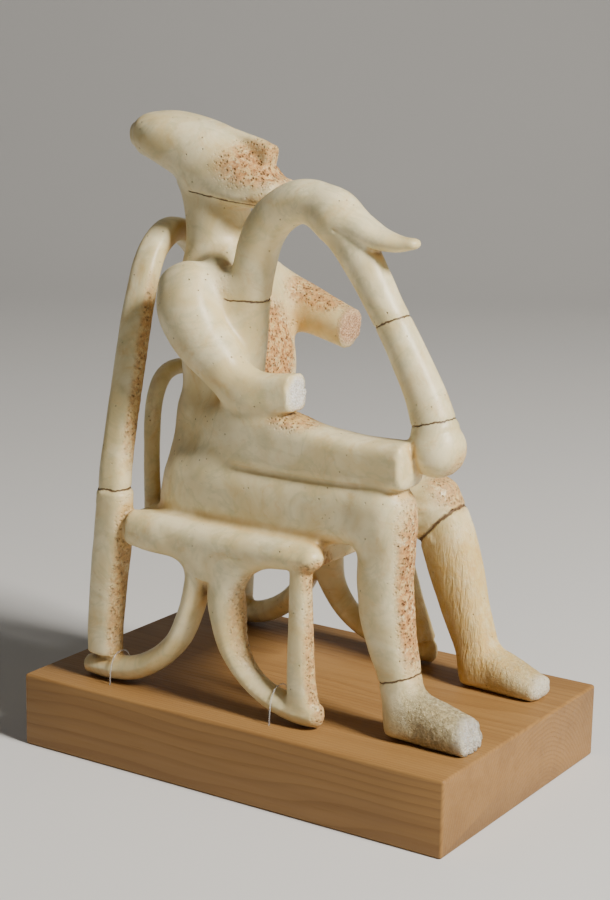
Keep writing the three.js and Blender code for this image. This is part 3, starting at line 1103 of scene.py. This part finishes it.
@dataclass(frozen=True)
class MarbleFinish:
    """Old ivory marble: warm stains, a grainy crust, pits and hairlines, and painted shade in the hollows
    and creases, under parts and, with the crust, on front faces.

    `wander` is how far a hairline strays, and `depth` how far light goes into the stone, both in
    millimetres.
    """

    ivory: Colour = (0.72, 0.585, 0.30)
    pale: Colour = (0.83, 0.735, 0.46)
    moss: Colour = (0.47, 0.44, 0.24)
    honey: Colour = (0.64, 0.42, 0.15)
    crust: Colour = (0.56, 0.29, 0.10)
    umber: Colour = (0.27, 0.115, 0.04)
    ochre: Colour = (0.68, 0.47, 0.15)
    olive: Colour = (0.34, 0.27, 0.14)
    rose: Colour = (0.78, 0.50, 0.29)
    granite: Colour = (0.42, 0.22, 0.11)
    ash: Colour = (0.66, 0.61, 0.52)
    # near-black: dirt in pits and hairlines, and painted shade in the deepest hollows and in the crease
    # under the jaw
    dirt_and_shade: Colour = (0.10, 0.045, 0.018)
    fresh: Colour = (0.92, 0.90, 0.84)
    wander: float = 1.8
    smoothest: float = 0.36
    roughest: float = 0.85
    gloss: float = 0.45
    depth: float = 2.5
    depth_share: float = 0.16
    depth_colours: Point = (1.0, 0.72, 0.45)

    def crack_and_crease_shade_lines(self, s: Sketch) -> Socket:
        """1 on the hairlines and on the painted shade line of the jaw's crease, and 0 elsewhere.

        A hairline is where the distance to its plane, made to wander by noise, is nearly 0, inside
        a ball round its own place.

        Args:
            s: the material that it is for.

        Returns:
            The lines' share.
        """
        wander = s.sum("MULTIPLY", s.sum("SUBTRACT", s.noise(3.0, 4.0), 0.5), self.wander)
        total: object = 0.0
        for crack in CRACKS_AND_CREASE_SHADE:
            at = (Vector(crack.at) * MM) + Vector((0, 0, BLOCK_TOP))
            offset = s.vector("SUBTRACT", s.place, tuple(at))
            square = Vector(crack.along).normalized() / MM
            height = s.sum("ADD", s.vector("DOT_PRODUCT", offset, tuple(square)), wander)
            line = s.step(s.sum("ABSOLUTE", height), crack.width * 0.2, crack.width, 1.0, 0.0)
            reach = crack.reach * MM
            near = s.step(s.vector("LENGTH", offset), reach * 0.9, reach, 1.0, 0.0)
            total = s.sum("MAXIMUM", total, s.sum("MULTIPLY", line, near))
        return total

    def make(self) -> bpy.types.Material:
        """The material, from object coordinates and the surface's own masks."""
        s = Sketch("old_marble")
        grain = s.noise(0.8, 4.0, 0.65)
        patch = s.noise(7.0, 4.0, 0.6, 0.4)
        pits = s.step(s.cells(3.4), 0.05, 0.13, 1.0, 0.0)
        pits = s.sum("MULTIPLY", pits, s.step(s.noise(9.0), 0.48, 0.6))
        cracks_and_crease_shade = self.crack_and_crease_shade_lines(s)
        colour = self.stone(s, patch)
        colour, crust, crust_pits = self.crusted(s, colour)
        colour, furrow = self.furrowed(s, colour)
        colour = self.weathered(s, colour)
        colour = self.shade_hollows(s, colour, patch)
        colour = s.tint(s.sum("MULTIPLY", pits, 0.6), colour, self.dirt_and_shade)
        colour = self.broken(s, colour, grain)
        colour = s.tint(s.sum("MULTIPLY", cracks_and_crease_shade, 0.93), colour, self.dirt_and_shade)
        coarse = s.sum("ADD", crust, s.sum("MULTIPLY", s.mask(Mask.OCHRE), 0.8))
        coarse = s.sum("ADD", coarse, s.sum("MULTIPLY", grain, 0.4))
        torn = s.sum("MAXIMUM", s.mask(Mask.BREAK), s.mask(Mask.FRESH))
        worn = s.sum("MULTIPLY", s.noise(1.3, 5.0, 0.7), s.mask(Mask.WORN))
        heights = (
            (s.sum("MULTIPLY", grain, torn), 0.9),
            (s.sum("MULTIPLY", crust_pits, crust), -0.8),
            (s.sum("MULTIPLY", furrow, s.mask(Mask.OCHRE)), 0.9),
            (worn, 1.6),
            (pits, -0.4),
            (cracks_and_crease_shade, -0.5),
        )
        normal = s.bump(grain, 0.07)
        for height, depth in heights:
            normal = s.bump(height, depth, normal)
        s.finish(
            colour,
            s.step(coarse, 0.0, 1.2, self.smoothest, self.roughest),
            normal,
            Subsurface_Weight=self.depth_share,
            Subsurface_Radius=self.depth_colours,
            Subsurface_Scale=self.depth * MM,
            Specular_IOR_Level=self.gloss,
        )
        return s.material

    def stone(self, s: Sketch, patch: Socket) -> Socket:
        """The clean stone: ivory and pale clouds, faint grey-green veins and honey stains.

        Args:
            s: the material that it is for.
            patch: noise of a few millimetres.

        Returns:
            The colour.
        """
        cloud = s.noise(20.0, 3.0, 0.55, 0.8)
        colour = s.tint(s.step(cloud, 0.36, 0.66), self.ivory, self.pale)
        colour = s.tint(s.step(patch, 0.45, 0.8, 0.0, 0.45), colour, self.moss)
        vein = s.sum("ABSOLUTE", s.sum("SUBTRACT", s.noise(26.0, 4.0, 0.6, 1.2), 0.5))
        colour = s.tint(s.step(vein, 0.0, 0.05, 0.28, 0.0), colour, self.moss)
        stain = s.noise(13.0, 5.0, 0.68, 0.9)
        return s.tint(s.step(stain, 0.5, 0.76, 0.0, 0.6), colour, self.honey)

    def crusted(self, s: Sketch, colour: Socket) -> tuple[Socket, Socket, Socket]:
        """The brown crust with its pits, which on some patches is painted shade.

        Args:
            s: the material that it is for.
            colour: the colour below.

        Returns:
            The colour, the crust's share and its pits.
        """
        share = s.mask(Mask.CRUST_AND_SHADE)
        under = s.step(s.noise(6.0, 4.0, 0.6, 0.5), 0.3, 0.6, 0.25, 0.85)
        colour = s.tint(s.sum("MULTIPLY", share, under), colour, self.honey)
        crust = s.sum("MULTIPLY", share, s.step(s.noise(2.3, 6.0, 0.72, 0.5), 0.38, 0.54, 0.1, 1.0))
        shade = s.tint(s.step(s.noise(1.7, 4.0, 0.7), 0.35, 0.62), self.umber, self.crust)
        pits = s.step(s.cells(1.5), 0.12, 0.42, 1.0, 0.0)
        shade = s.tint(s.sum("MULTIPLY", pits, 0.75), shade, self.dirt_and_shade)
        return s.tint(crust, colour, shade), crust, pits

    def furrowed(self, s: Sketch, colour: Socket) -> tuple[Socket, Socket]:
        """The yellow weathering of the far leg, with furrows drawn out along Z.

        Args:
            s: the material that it is for.
            colour: the colour below.

        Returns:
            The colour and the furrows' height.
        """
        spread = s.step(s.noise(4.0, 5.0, 0.7, 0.4), 0.25, 0.7, 0.3, 1.0)
        spread = s.sum("MULTIPLY", s.mask(Mask.OCHRE), spread)
        furrow = s.noise(1.5, 3.0, 0.6, 0.6, s.stretch((1.0, 1.0, 0.22)))
        tone = s.tint(s.step(furrow, 0.38, 0.62), self.honey, self.ochre)
        return s.tint(spread, colour, tone), furrow

    def weathered(self, s: Sketch, colour: Socket) -> Socket:
        """The grey-brown grain of the feet, over the colour below."""
        fleck = s.step(s.noise(1.6, 6.0, 0.75), 0.38, 0.6, 0.2, 0.95)
        return s.tint(s.sum("MULTIPLY", s.mask(Mask.WORN), fleck), colour, self.olive)

    def shade_hollows(self, s: Sketch, colour: Socket, patch: Socket) -> Socket:
        """Painted shade: honey in the hollows, and near-black in the deepest of them.

        Args:
            s: the material that it is for.
            colour: the colour below.
            patch: noise of a few millimetres.

        Returns:
            The colour.
        """
        cavity = s.mask(Mask.CAVITY)
        warm = s.sum("MULTIPLY", s.step(cavity, 0.22, 0.62), s.step(patch, 0.25, 0.7, 0.5, 0.9))
        colour = s.tint(warm, colour, self.honey)
        ragged = s.step(s.noise(2.5, 4.0), 0.3, 0.65, 0.35, 0.9)
        return s.tint(s.sum("MULTIPLY", s.step(cavity, 0.55, 1.0), ragged), colour, self.dirt_and_shade)

    def broken(self, s: Sketch, colour: Socket, grain: Socket) -> Socket:
        """The old breaks, rose and brown, and the fresh ones, white and grey.

        Args:
            s: the material that it is for.
            colour: the colour below.
            grain: noise of less than a millimetre.

        Returns:
            The colour.
        """
        old = s.tint(s.step(grain, 0.4, 0.6), self.granite, self.rose)
        colour = s.tint(s.mask(Mask.BREAK), colour, old)
        fresh = s.tint(s.step(grain, 0.35, 0.6), self.ash, self.fresh)
        return s.tint(s.mask(Mask.FRESH), colour, fresh)


@dataclass(frozen=True)
class WoodFinish:
    """Planed honey-coloured wood whose growth rings run round a line along Y through `heart`.

    `ring` is one ring's width in millimetres, and `sway` how many rings the grain strays.
    """

    light: Colour = (0.32, 0.172, 0.055)
    dark: Colour = (0.20, 0.095, 0.027)
    pore: Colour = (0.12, 0.05, 0.016)
    heart: Point = (17.0, 0.0, -14.0)
    ring: float = 1.7
    sway: float = 6.0

    def make(self) -> bpy.types.Material:
        """The material: rings from the distance to the heart line, fibres drawn out along Y."""
        s = Sketch("planed_wood")
        centre = (-self.heart[0] * MM, 0.0, -self.heart[2] * MM)
        sway = s.noise(45.0, 2.0, 0.5, at=s.stretch((1, 0.25, 1)))
        out = s.vector("LENGTH", s.stretch((1, 0, 1), centre))
        rings = s.sum("DIVIDE", out, self.ring * MM)
        rings = s.sum("ADD", rings, s.sum("MULTIPLY", sway, self.sway))
        turn = s.sum("FRACT", rings)
        late = s.sum("MULTIPLY", s.step(turn, 0.45, 0.92), s.step(turn, 0.93, 1.0, 1.0, 0.0))
        fibre = s.noise(1.1, 4.0, 0.7, at=s.stretch((1, 0.04, 1), centre))
        streak = s.noise(9.0, 3.0, 0.6, at=s.stretch((1, 0.05, 1)))
        colour = s.tint(s.sum("MULTIPLY", late, 0.4), self.light, self.dark)
        colour = s.tint(s.step(streak, 0.4, 0.75, 0.0, 0.45), colour, self.dark)
        colour = s.tint(s.step(fibre, 0.62, 0.8, 0.0, 0.5), colour, self.pore)
        normal = s.bump(late, 0.05, s.bump(fibre, 0.12))
        s.finish(colour, s.step(fibre, 0.2, 0.9, 0.45, 0.7), normal, Specular_IOR_Level=0.4)
        return s.material


@dataclass(frozen=True)
class NylonFinish:
    """Clear thin thread."""

    clear: Colour = (0.92, 0.94, 0.95)
    cloudy: Colour = (0.80, 0.82, 0.84)

    def make(self) -> bpy.types.Material:
        """A glossy see-through plastic with a faint unevenness."""
        s = Sketch("clear_nylon")
        colour = s.tint(s.noise(2.0), self.clear, self.cloudy)
        s.finish(colour, 0.15, None, Transmission_Weight=0.75, IOR=1.5, Alpha=0.75)
        return s.material


@dataclass(frozen=True)
class FloorFinish:
    """Plain pale paper."""

    first: Colour = (0.66, 0.65, 0.63)
    second: Colour = (0.69, 0.68, 0.66)

    def make(self) -> bpy.types.Material:
        """A dull, even, nearly white surface."""
        s = Sketch("pale_floor")
        s.finish(s.tint(s.noise(300.0), self.first, self.second), 0.9, None)
        return s.material


# ------------------------------------------------------------------ the marble as a piece
@dataclass(frozen=True)
class Patch:
    """A soft-edged egg-shaped region of a mask, optionally only on faces that look one way."""

    mask: Mask
    centre: Point
    size: Point
    strength: float = 1.0
    facing: Point | None = None

    def amount(self, points: Array, normals: Array) -> Array:
        """The mask's value: `strength` in the inner half of the egg, falling to 0 at its rim.

        Args:
            points: the places, one to a row.
            normals: the way that the surface looks there.

        Returns:
            A number from 0 to 1 for each point.
        """
        reach = np.linalg.norm((points - np.array(self.centre)) / np.array(self.size), axis=1)
        share = self.strength * (1.0 - smoothstep(0.5, 1.0, reach))
        if self.facing is not None:
            share = share * smoothstep(-0.1, 0.6, normals @ unit(np.array(self.facing)))
        return share


PATCHES = (
    Patch(Mask.CRUST_AND_SHADE, (4, 20, 136), (27, 14, 30), 1.0, (0, -1, 0.1)),
    Patch(Mask.CRUST_AND_SHADE, (-20, 28, 158), (16, 14, 12), 0.55, (-0.2, -1, 0.3)),
    Patch(Mask.CRUST_AND_SHADE, (30, 16, 154), (18, 22, 12), 0.85, (0, -0.4, 1)),
    Patch(Mask.CRUST_AND_SHADE, (0, 28, 204), (24, 22, 13), 0.95, (-0.3, -0.6, 0.8)),
    # crust mixed with painted shade on the near shin's front face
    Patch(Mask.CRUST_AND_SHADE, (-30, -61, 56), (22, 20, 46), 1.0, (0.6, -1, 0)),
    # painted shade on the sound box under the forearm
    Patch(Mask.CRUST_AND_SHADE, (-33, -12, 115), (13, 14, 9), 0.8, (0, 0, 1)),
    # crust mixed with painted shade on the front faces of the rear post, the back arch, the curved leg and
    # the front post
    Patch(Mask.CRUST_AND_SHADE, (-46, 58, 36), (16, 14, 52), 0.6, (0.3, -1, 0)),
    Patch(Mask.CRUST_AND_SHADE, (-36, 60, 130), (22, 14, 62), 0.7, (0.5, -1, 0)),
    Patch(Mask.CRUST_AND_SHADE, (-44, -4, 42), (14, 22, 34), 0.5, (0.3, -1, 0.2)),
    Patch(Mask.CRUST_AND_SHADE, (-43, -33, 24), (14, 12, 44), 0.7, (0.5, -1, 0)),
    # painted shade under the rail by the front post
    Patch(Mask.CRUST_AND_SHADE, (-42, -30, 60), (14, 12, 12), 0.8, (0, -0.5, -1)),
    Patch(Mask.CRUST_AND_SHADE, (37, -44, 80), (16, 16, 13), 0.7),
    Patch(Mask.CRUST_AND_SHADE, (-20, -76, 104), (12, 10, 10), 0.5),
    # painted shade under the jaw, at its crease with the neck
    Patch(Mask.CRUST_AND_SHADE, (0, 22, 192), (18, 12, 6), 0.6),
    Patch(Mask.OCHRE, (37, -58, 30), (30, 52, 50), 1.0),
    Patch(Mask.WORN, (-32, -80, 9), (20, 26, 20), 1.0),
    Patch(Mask.WORN, (35, -78, 6), (16, 24, 12), 0.5),
    Patch(Mask.BREAK, (31.4, 3.6, 139), (12, 3.2, 12), 1.0),
    Patch(Mask.BREAK, (0, 19.0, 207), (6, 2.4, 7), 0.8),
    Patch(Mask.FRESH, (-34, -14.2, 125.2), (9, 2.2, 9), 1.0),
    Patch(Mask.FRESH, (-32, -92, 5), (12, 9, 11), 0.75),
    Patch(Mask.FRESH, (34.5, -88, 4), (11, 7, 8), 0.5),
)


ROUGHNESS = {
    Mask.CRUST_AND_SHADE: 0.14,
    Mask.FRESH: 0.2,
    Mask.BREAK: 0.2,
    Mask.OCHRE: 0.05,
    Mask.WORN: 0.14,
}


@dataclass
class Marble:
    """The carved marble: field, skin, hand-worked unevenness, masks and finish.

    `cell` is the grid's spacing, and `under` the height of the underside over the wood. `notch` is
    a crack's half width. `feelers` are the lengths and weights that measure how closed in a place
    is, and `roughness` is the height of each mask's grain.
    """

    chair: Chair = field(default_factory=Chair)
    player: Player = field(default_factory=Player)
    harp: Harp = field(default_factory=Harp)
    cell: float = 1.22
    coarser: float = 1.5
    under: float = 0.05
    notch: float = 0.7
    feelers: tuple[tuple[float, float], ...] = ((1.5, 0.4), (3.5, 0.35), (7.0, 0.25))
    extent: tuple[Point, Point] = ((-60.0, -98.0, -4.0), (60.0, 93.0, 230.0))
    roughness: dict[Mask, float] = field(default_factory=lambda: dict(ROUGHNESS))

    def carving(self) -> Carving:
        """The whole field."""
        groups = [
            (self.chair.solids(), 1.0),
            (self.player.solids(), 5.0),
            (self.harp.solids(), Fillet(1.2, 5.0, -6.0, 6.0)),
        ]
        return Carving(groups, self.harp.grooves(), self.under)

    def relief(self, points: Array, masks: dict[Mask, Array]) -> Array:
        """How far the real surface stands off the ideal one, along the normal.

        It is wide unevenness everywhere, grain where the stone is crusted, worn or broken, furrows
        along Z where it is ochre, and a notch exp(-(d / w)^2) along each crack.

        Args:
            points: the places, one to a row.
            masks: the surface's masks.

        Returns:
            The heights.
        """
        height = 0.22 * lattice_noise(points, 17.0, 3) + 0.10 * lattice_noise(points, 6.5, 5)
        grain = lattice_noise(points, 2.3, 11) + 0.6 * lattice_noise(points, 1.4, 12)
        furrow = lattice_noise(points * np.array([1.0, 1.0, 0.25]), 2.2, 13)
        height += sum(share * masks[mask] for mask, share in self.roughness.items()) * grain
        height += 0.07 * masks[Mask.OCHRE] * furrow
        for crack in CRACKS_AND_CREASE_SHADE:
            offset = points - np.array(crack.at)
            across = offset @ unit(np.array(crack.along))
            near = np.linalg.norm(offset, axis=1) < crack.reach
            height -= near * crack.depth * np.exp(-((across / self.notch) ** 2))
        return height

    def cavity(self, carving: Carving, points: Array, normals: Array) -> Array:
        """How closed in each point is: the shortfall of the field at steps along the normal.

        Args:
            carving: the field.
            points: the places, one to a row.
            normals: the way that the surface looks there.

        Returns:
            A number for each point, 0 in the open and up to 1 in a slit.
        """
        total = np.zeros(len(points))
        for distance, weight in self.feelers:
            reached = np.clip(carving.field(points + normals * distance), 0, distance)
            total += weight * (1.0 - reached / distance)
        return total

    def build(self) -> bpy.types.Object:
        """The finished piece."""
        carving = self.carving()
        cell = self.cell * 1.0
        low, high = map(np.array, self.extent)
        shape = np.ceil((high - low) / cell).astype(int)
        points, faces = skin(carving.grid_field(low, shape, cell), low, cell)
        points = carving.settle(points, 2, cell * 0.5)
        normals = carving.slope(points, 0.4)
        masks = {mask: np.zeros(len(points)) for mask in Mask}
        for patch in PATCHES:
            masks[patch.mask] = np.maximum(masks[patch.mask], patch.amount(points, normals))
        masks[Mask.CAVITY] = self.cavity(carving, points, normals)
        points = points + normals * self.relief(points, masks)[:, None]
        points[:, 2] = np.maximum(points[:, 2], self.under)
        shift = np.array([0.0, 0.0, BLOCK_TOP])
        piece = make_mesh("harp_player_marble", points * MM + shift, faces)
        for mask, amount in masks.items():
            layer = piece.data.attributes.new(mask.value, "FLOAT", "POINT")
            layer.data.foreach_set("value", amount.astype(np.float32))
        piece.data.materials.append(MarbleFinish().make())
        return declare(piece, "harp_player")


# ------------------------------------------------------------------ the block and the ties
@dataclass
class Block:
    """The wooden block: a rounded rectangle carried along Y, closed by rounded-in ends."""

    edge: float = 1.2
    corner_steps: int = 5
    length_steps: int = 9

    def build(self) -> bpy.types.Object:
        """The block's piece.

        The profile is a rectangle with quarter-round corners. It is carried from the front face to
        the back one; within `edge` of an end it shrinks as a quarter circle does, and one point
        closes each end.
        """
        low, high = np.array(BLOCK_LOW), np.array(BLOCK_HIGH)
        centre, half = (low + high) / 2, (high - low) / 2
        radius = self.edge * MM
        turn = np.linspace(0, math.pi / 2, self.corner_steps)
        corner = np.stack([np.cos(turn), np.sin(turn)], axis=1)
        quarters = [
            corner @ np.array([[math.cos(q), math.sin(q)], [-math.sin(q), math.cos(q)]])
            for q in np.arange(4) * math.pi / 2
        ]
        signs = np.array([(1, 1), (-1, 1), (-1, -1), (1, -1)])
        rings = []
        for y, inward in self.stops(half[1], radius, turn):
            rows = [
                sign * (half[[0, 2]] - radius) + part * (radius - inward)
                for sign, part in zip(signs, quarters)
            ]
            ring = np.vstack(rows)
            rings.append(np.stack([ring[:, 0], np.full(len(ring), y), ring[:, 1]], axis=1))
        points, faces = tube(np.array(rings) + centre)
        piece = make_mesh("wooden_block", points, faces)
        piece.data.materials.append(WoodFinish().make())
        return declare(piece, "wooden_base")

    def stops(self, half: float, radius: float, turn: Array) -> list[tuple[float, float]]:
        """Where the profile stands along Y.

        Args:
            half: half the block's length.
            radius: the rounding at its ends.
            turn: the angles of the points on a quarter circle.

        Returns:
            For each ring its place along Y and how far it is drawn in.
        """
        front = [(-half + radius * (1 - math.sin(t)), radius * (1 - math.cos(t))) for t in turn[::-1]]
        flat = np.linspace(-half + radius, half - radius, self.length_steps)
        back = [(-y, inward) for y, inward in front[::-1]]
        return front + [(y, 0.0) for y in flat[1:-1]] + back


def tube(rings: Array) -> tuple[Array, Array]:
    """A closed surface through rings of points, with a fan of triangles kept as quads at each end.

    Args:
        rings: ring by ring, the points round it, as an array of shape (rings, sides, 3).

    Returns:
        The points and the four-sided faces.
    """
    count, sides = rings.shape[:2]
    caps = np.stack([rings[0].mean(axis=0), rings[-1].mean(axis=0)])
    points = np.vstack([rings.reshape(-1, 3), caps])
    i, j = np.meshgrid(np.arange(count - 1), np.arange(sides), indexing="ij")
    k = (j + 1) % sides
    walls = np.stack([i * sides + j, i * sides + k, (i + 1) * sides + k, (i + 1) * sides + j], axis=-1)
    first, last = len(points) - 2, len(points) - 1
    j = np.arange(0, sides, 2)
    front = np.stack([np.full(len(j), first), (j + 2) % sides, j + 1, j], axis=1)
    j = j + (count - 1) * sides
    base = (count - 1) * sides
    back = np.stack([np.full(len(j), last), j, j + 1, base + (j + 2 - base) % sides], axis=1)
    return points, np.vstack([walls.reshape(-1, 4), front, back])


@dataclass
class Tie:
    """A thread that leaves the wood, goes over one runner of the chair and back down."""

    name: str
    node: str
    radius: float = 0.28
    sides: int = 10
    steps: int = 48
    square: float = 2.6
    slack: float = 1.4
    sunk: float = 0.1

    def build(self) -> bpy.types.Object:
        """The tie's piece: a circle carried along an arch in an upright plane across the runner.

        The arch is the upper half of a superellipse with the exponent `square`, as wide and high as
        the tie's own box, less `slack` radii. Its ends are `sunk` into the wood.
        """
        low, high = (np.array(corner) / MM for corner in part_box(self.node))
        middle = (low + high) / 2
        half = (high[0] - low[0]) / 2 - self.radius * self.slack
        rise = high[2] - BLOCK_TOP / MM - self.radius * self.slack
        turn = np.linspace(math.pi, 0.0, self.steps)
        c, s = np.cos(turn), np.sin(turn)
        x = middle[0] + half * np.sign(c) * np.abs(c) ** (2 / self.square)
        z = BLOCK_TOP / MM - self.sunk + rise * np.abs(s) ** (2 / self.square)
        path = np.stack([x, np.full(len(x), middle[1]), z], axis=1)
        side = np.array([0.0, 1.0, 0.0])
        up = np.cross(unit(np.gradient(path, axis=0)), side)
        angle = np.linspace(0, 2 * math.pi, self.sides, endpoint=False)
        round_side = np.cos(angle)[None, :, None] * side
        round_up = np.sin(angle)[None, :, None] * up[:, None]
        points, faces = tube(path[:, None] + self.radius * (round_side + round_up))
        piece = make_mesh(self.name, points * MM, faces)
        piece.data.materials.append(NylonFinish().make())
        return declare(piece, self.node)


# ------------------------------------------------------------------ camera, floor and lights
@dataclass(frozen=True)
class View:
    """The camera: where it stands, which way it looks, and how long its lens is."""

    azimuth: float = -57.09
    pitch: float = 13.03
    roll: float = -1.06
    distance: float = 786.43
    sideways: float = -3.72
    height: float = 94.89
    lens: float = 79.94

    def place(self) -> None:
        """Makes the camera and gives it to the scene."""
        azimuth, pitch, roll = map(math.radians, (self.azimuth, self.pitch, self.roll))
        back = Vector(
            (math.sin(azimuth) * math.cos(pitch), -math.cos(azimuth) * math.cos(pitch), math.sin(pitch))
        )
        right = Vector((math.cos(azimuth), math.sin(azimuth), 0.0))
        up = back.cross(right)
        spot = back * self.distance + right * self.sideways + Vector((0, 0, self.height))
        turned_right = right * math.cos(roll) - up * math.sin(roll)
        turned_up = right * math.sin(roll) + up * math.cos(roll)
        camera = bpy.data.objects.new("camera", bpy.data.cameras.new("camera"))
        camera.data.lens = self.lens
        camera.data.clip_start = 0.05
        camera.data.clip_end = 20.0
        turn = Matrix((turned_right, turned_up, back)).transposed()
        camera.matrix_world = Matrix.Translation(spot * MM + Vector((0, 0, BLOCK_TOP))) @ turn.to_4x4()
        bpy.context.scene.collection.objects.link(camera)
        bpy.context.scene.camera = camera


MIDDLE = Vector((0.0, 0.0, 0.14))


@dataclass(frozen=True)
class Lamp:
    """A square soft light that looks at the figure's middle, in metres and watts."""

    name: str
    place: Point
    size: float
    power: float
    tint: Colour = (1.0, 1.0, 1.0)

    def make(self) -> None:
        """Hangs the lamp and turns it to the figure's middle."""
        data = bpy.data.lights.new(self.name, "AREA")
        data.shape = "SQUARE"
        data.size = self.size
        data.energy = self.power
        data.color = self.tint
        lamp = bpy.data.objects.new(self.name, data)
        lamp.location = self.place
        aim = MIDDLE - Vector(self.place)
        lamp.rotation_euler = aim.to_track_quat("-Z", "Y").to_euler()
        bpy.context.scene.collection.objects.link(lamp)


@dataclass(frozen=True)
class Studio:
    """A pale floor that curves up behind, a key light, a fill and a rim.

    `half` is half the floor's width, `flat` is how far it runs before it bends up with radius
    `bend`, and `behind` is the bearing of that bend.
    """

    half: float = 5.0
    flat: float = 1.2
    bend: float = 1.0
    behind: float = math.radians(57.0)
    steps: int = 25
    air: Colour = (0.83, 0.84, 0.86)
    air_power: float = 0.03
    lamps: tuple[Lamp, ...] = (
        Lamp("key", (-0.15, -1.25, 1.20), 0.36, 56.0, (1.0, 0.96, 0.90)),
        Lamp("fill", (-1.5, -0.3, 0.9), 1.0, 0.8, (0.95, 0.98, 1.0)),
        Lamp("back", (-0.3, 1.3, 1.4), 0.7, 2.0, (1.0, 0.98, 0.94)),
    )

    def build(self) -> None:
        """Lays the floor, sets the air's light and hangs the lamps."""
        floor = self.sweep()
        floor.data.materials.append(FloorFinish().make())
        world = bpy.data.worlds.new("air")
        world.use_nodes = True
        sky = world.node_tree.nodes["Background"]
        sky.inputs["Color"].default_value = (*self.air, 1.0)
        sky.inputs["Strength"].default_value = self.air_power
        bpy.context.scene.world = world
        for lamp in self.lamps:
            lamp.make()

    def sweep(self) -> bpy.types.Object:
        """The floor: a flat strip, a quarter circle and an upright strip, carried sideways."""
        turn = np.linspace(0, math.pi / 2, self.steps)
        far = self.flat + self.bend
        out = np.concatenate([[-self.half, 0.0], self.flat + self.bend * np.sin(turn), [far]])
        up = np.concatenate([[0.0, 0.0], self.bend * (1 - np.cos(turn)), [self.half]])
        away = Vector((math.sin(self.behind), math.cos(self.behind)))
        side = np.array([-self.half, self.half])[:, None]
        x = out * away.x + side * away.y
        y = out * away.y - side * away.x
        grid = np.stack([x, y, np.broadcast_to(up, x.shape)], axis=-1)
        count = len(out)
        first = np.arange(count - 1)
        faces = np.stack([first, count + first, count + first + 1, first + 1], axis=1)
        return make_mesh("floor", grid.reshape(-1, 3), faces)


def main() -> None:
    """Builds the camera, the studio and every piece."""
    logging.basicConfig(level=logging.INFO, format="%(message)s")
    View().place()
    Studio().build()
    pieces = [
        Marble().build(),
        Block().build(),
        Tie("nylon_thread_rear", "nylon_tie_rear").build(),
        Tie("nylon_thread_front", "nylon_tie_front").build(),
    ]
    for piece in pieces:
        log.info("%s: %d points, %d faces", piece.name, len(piece.data.vertices), len(piece.data.polygons))


if __name__ == "__main__":
    main()
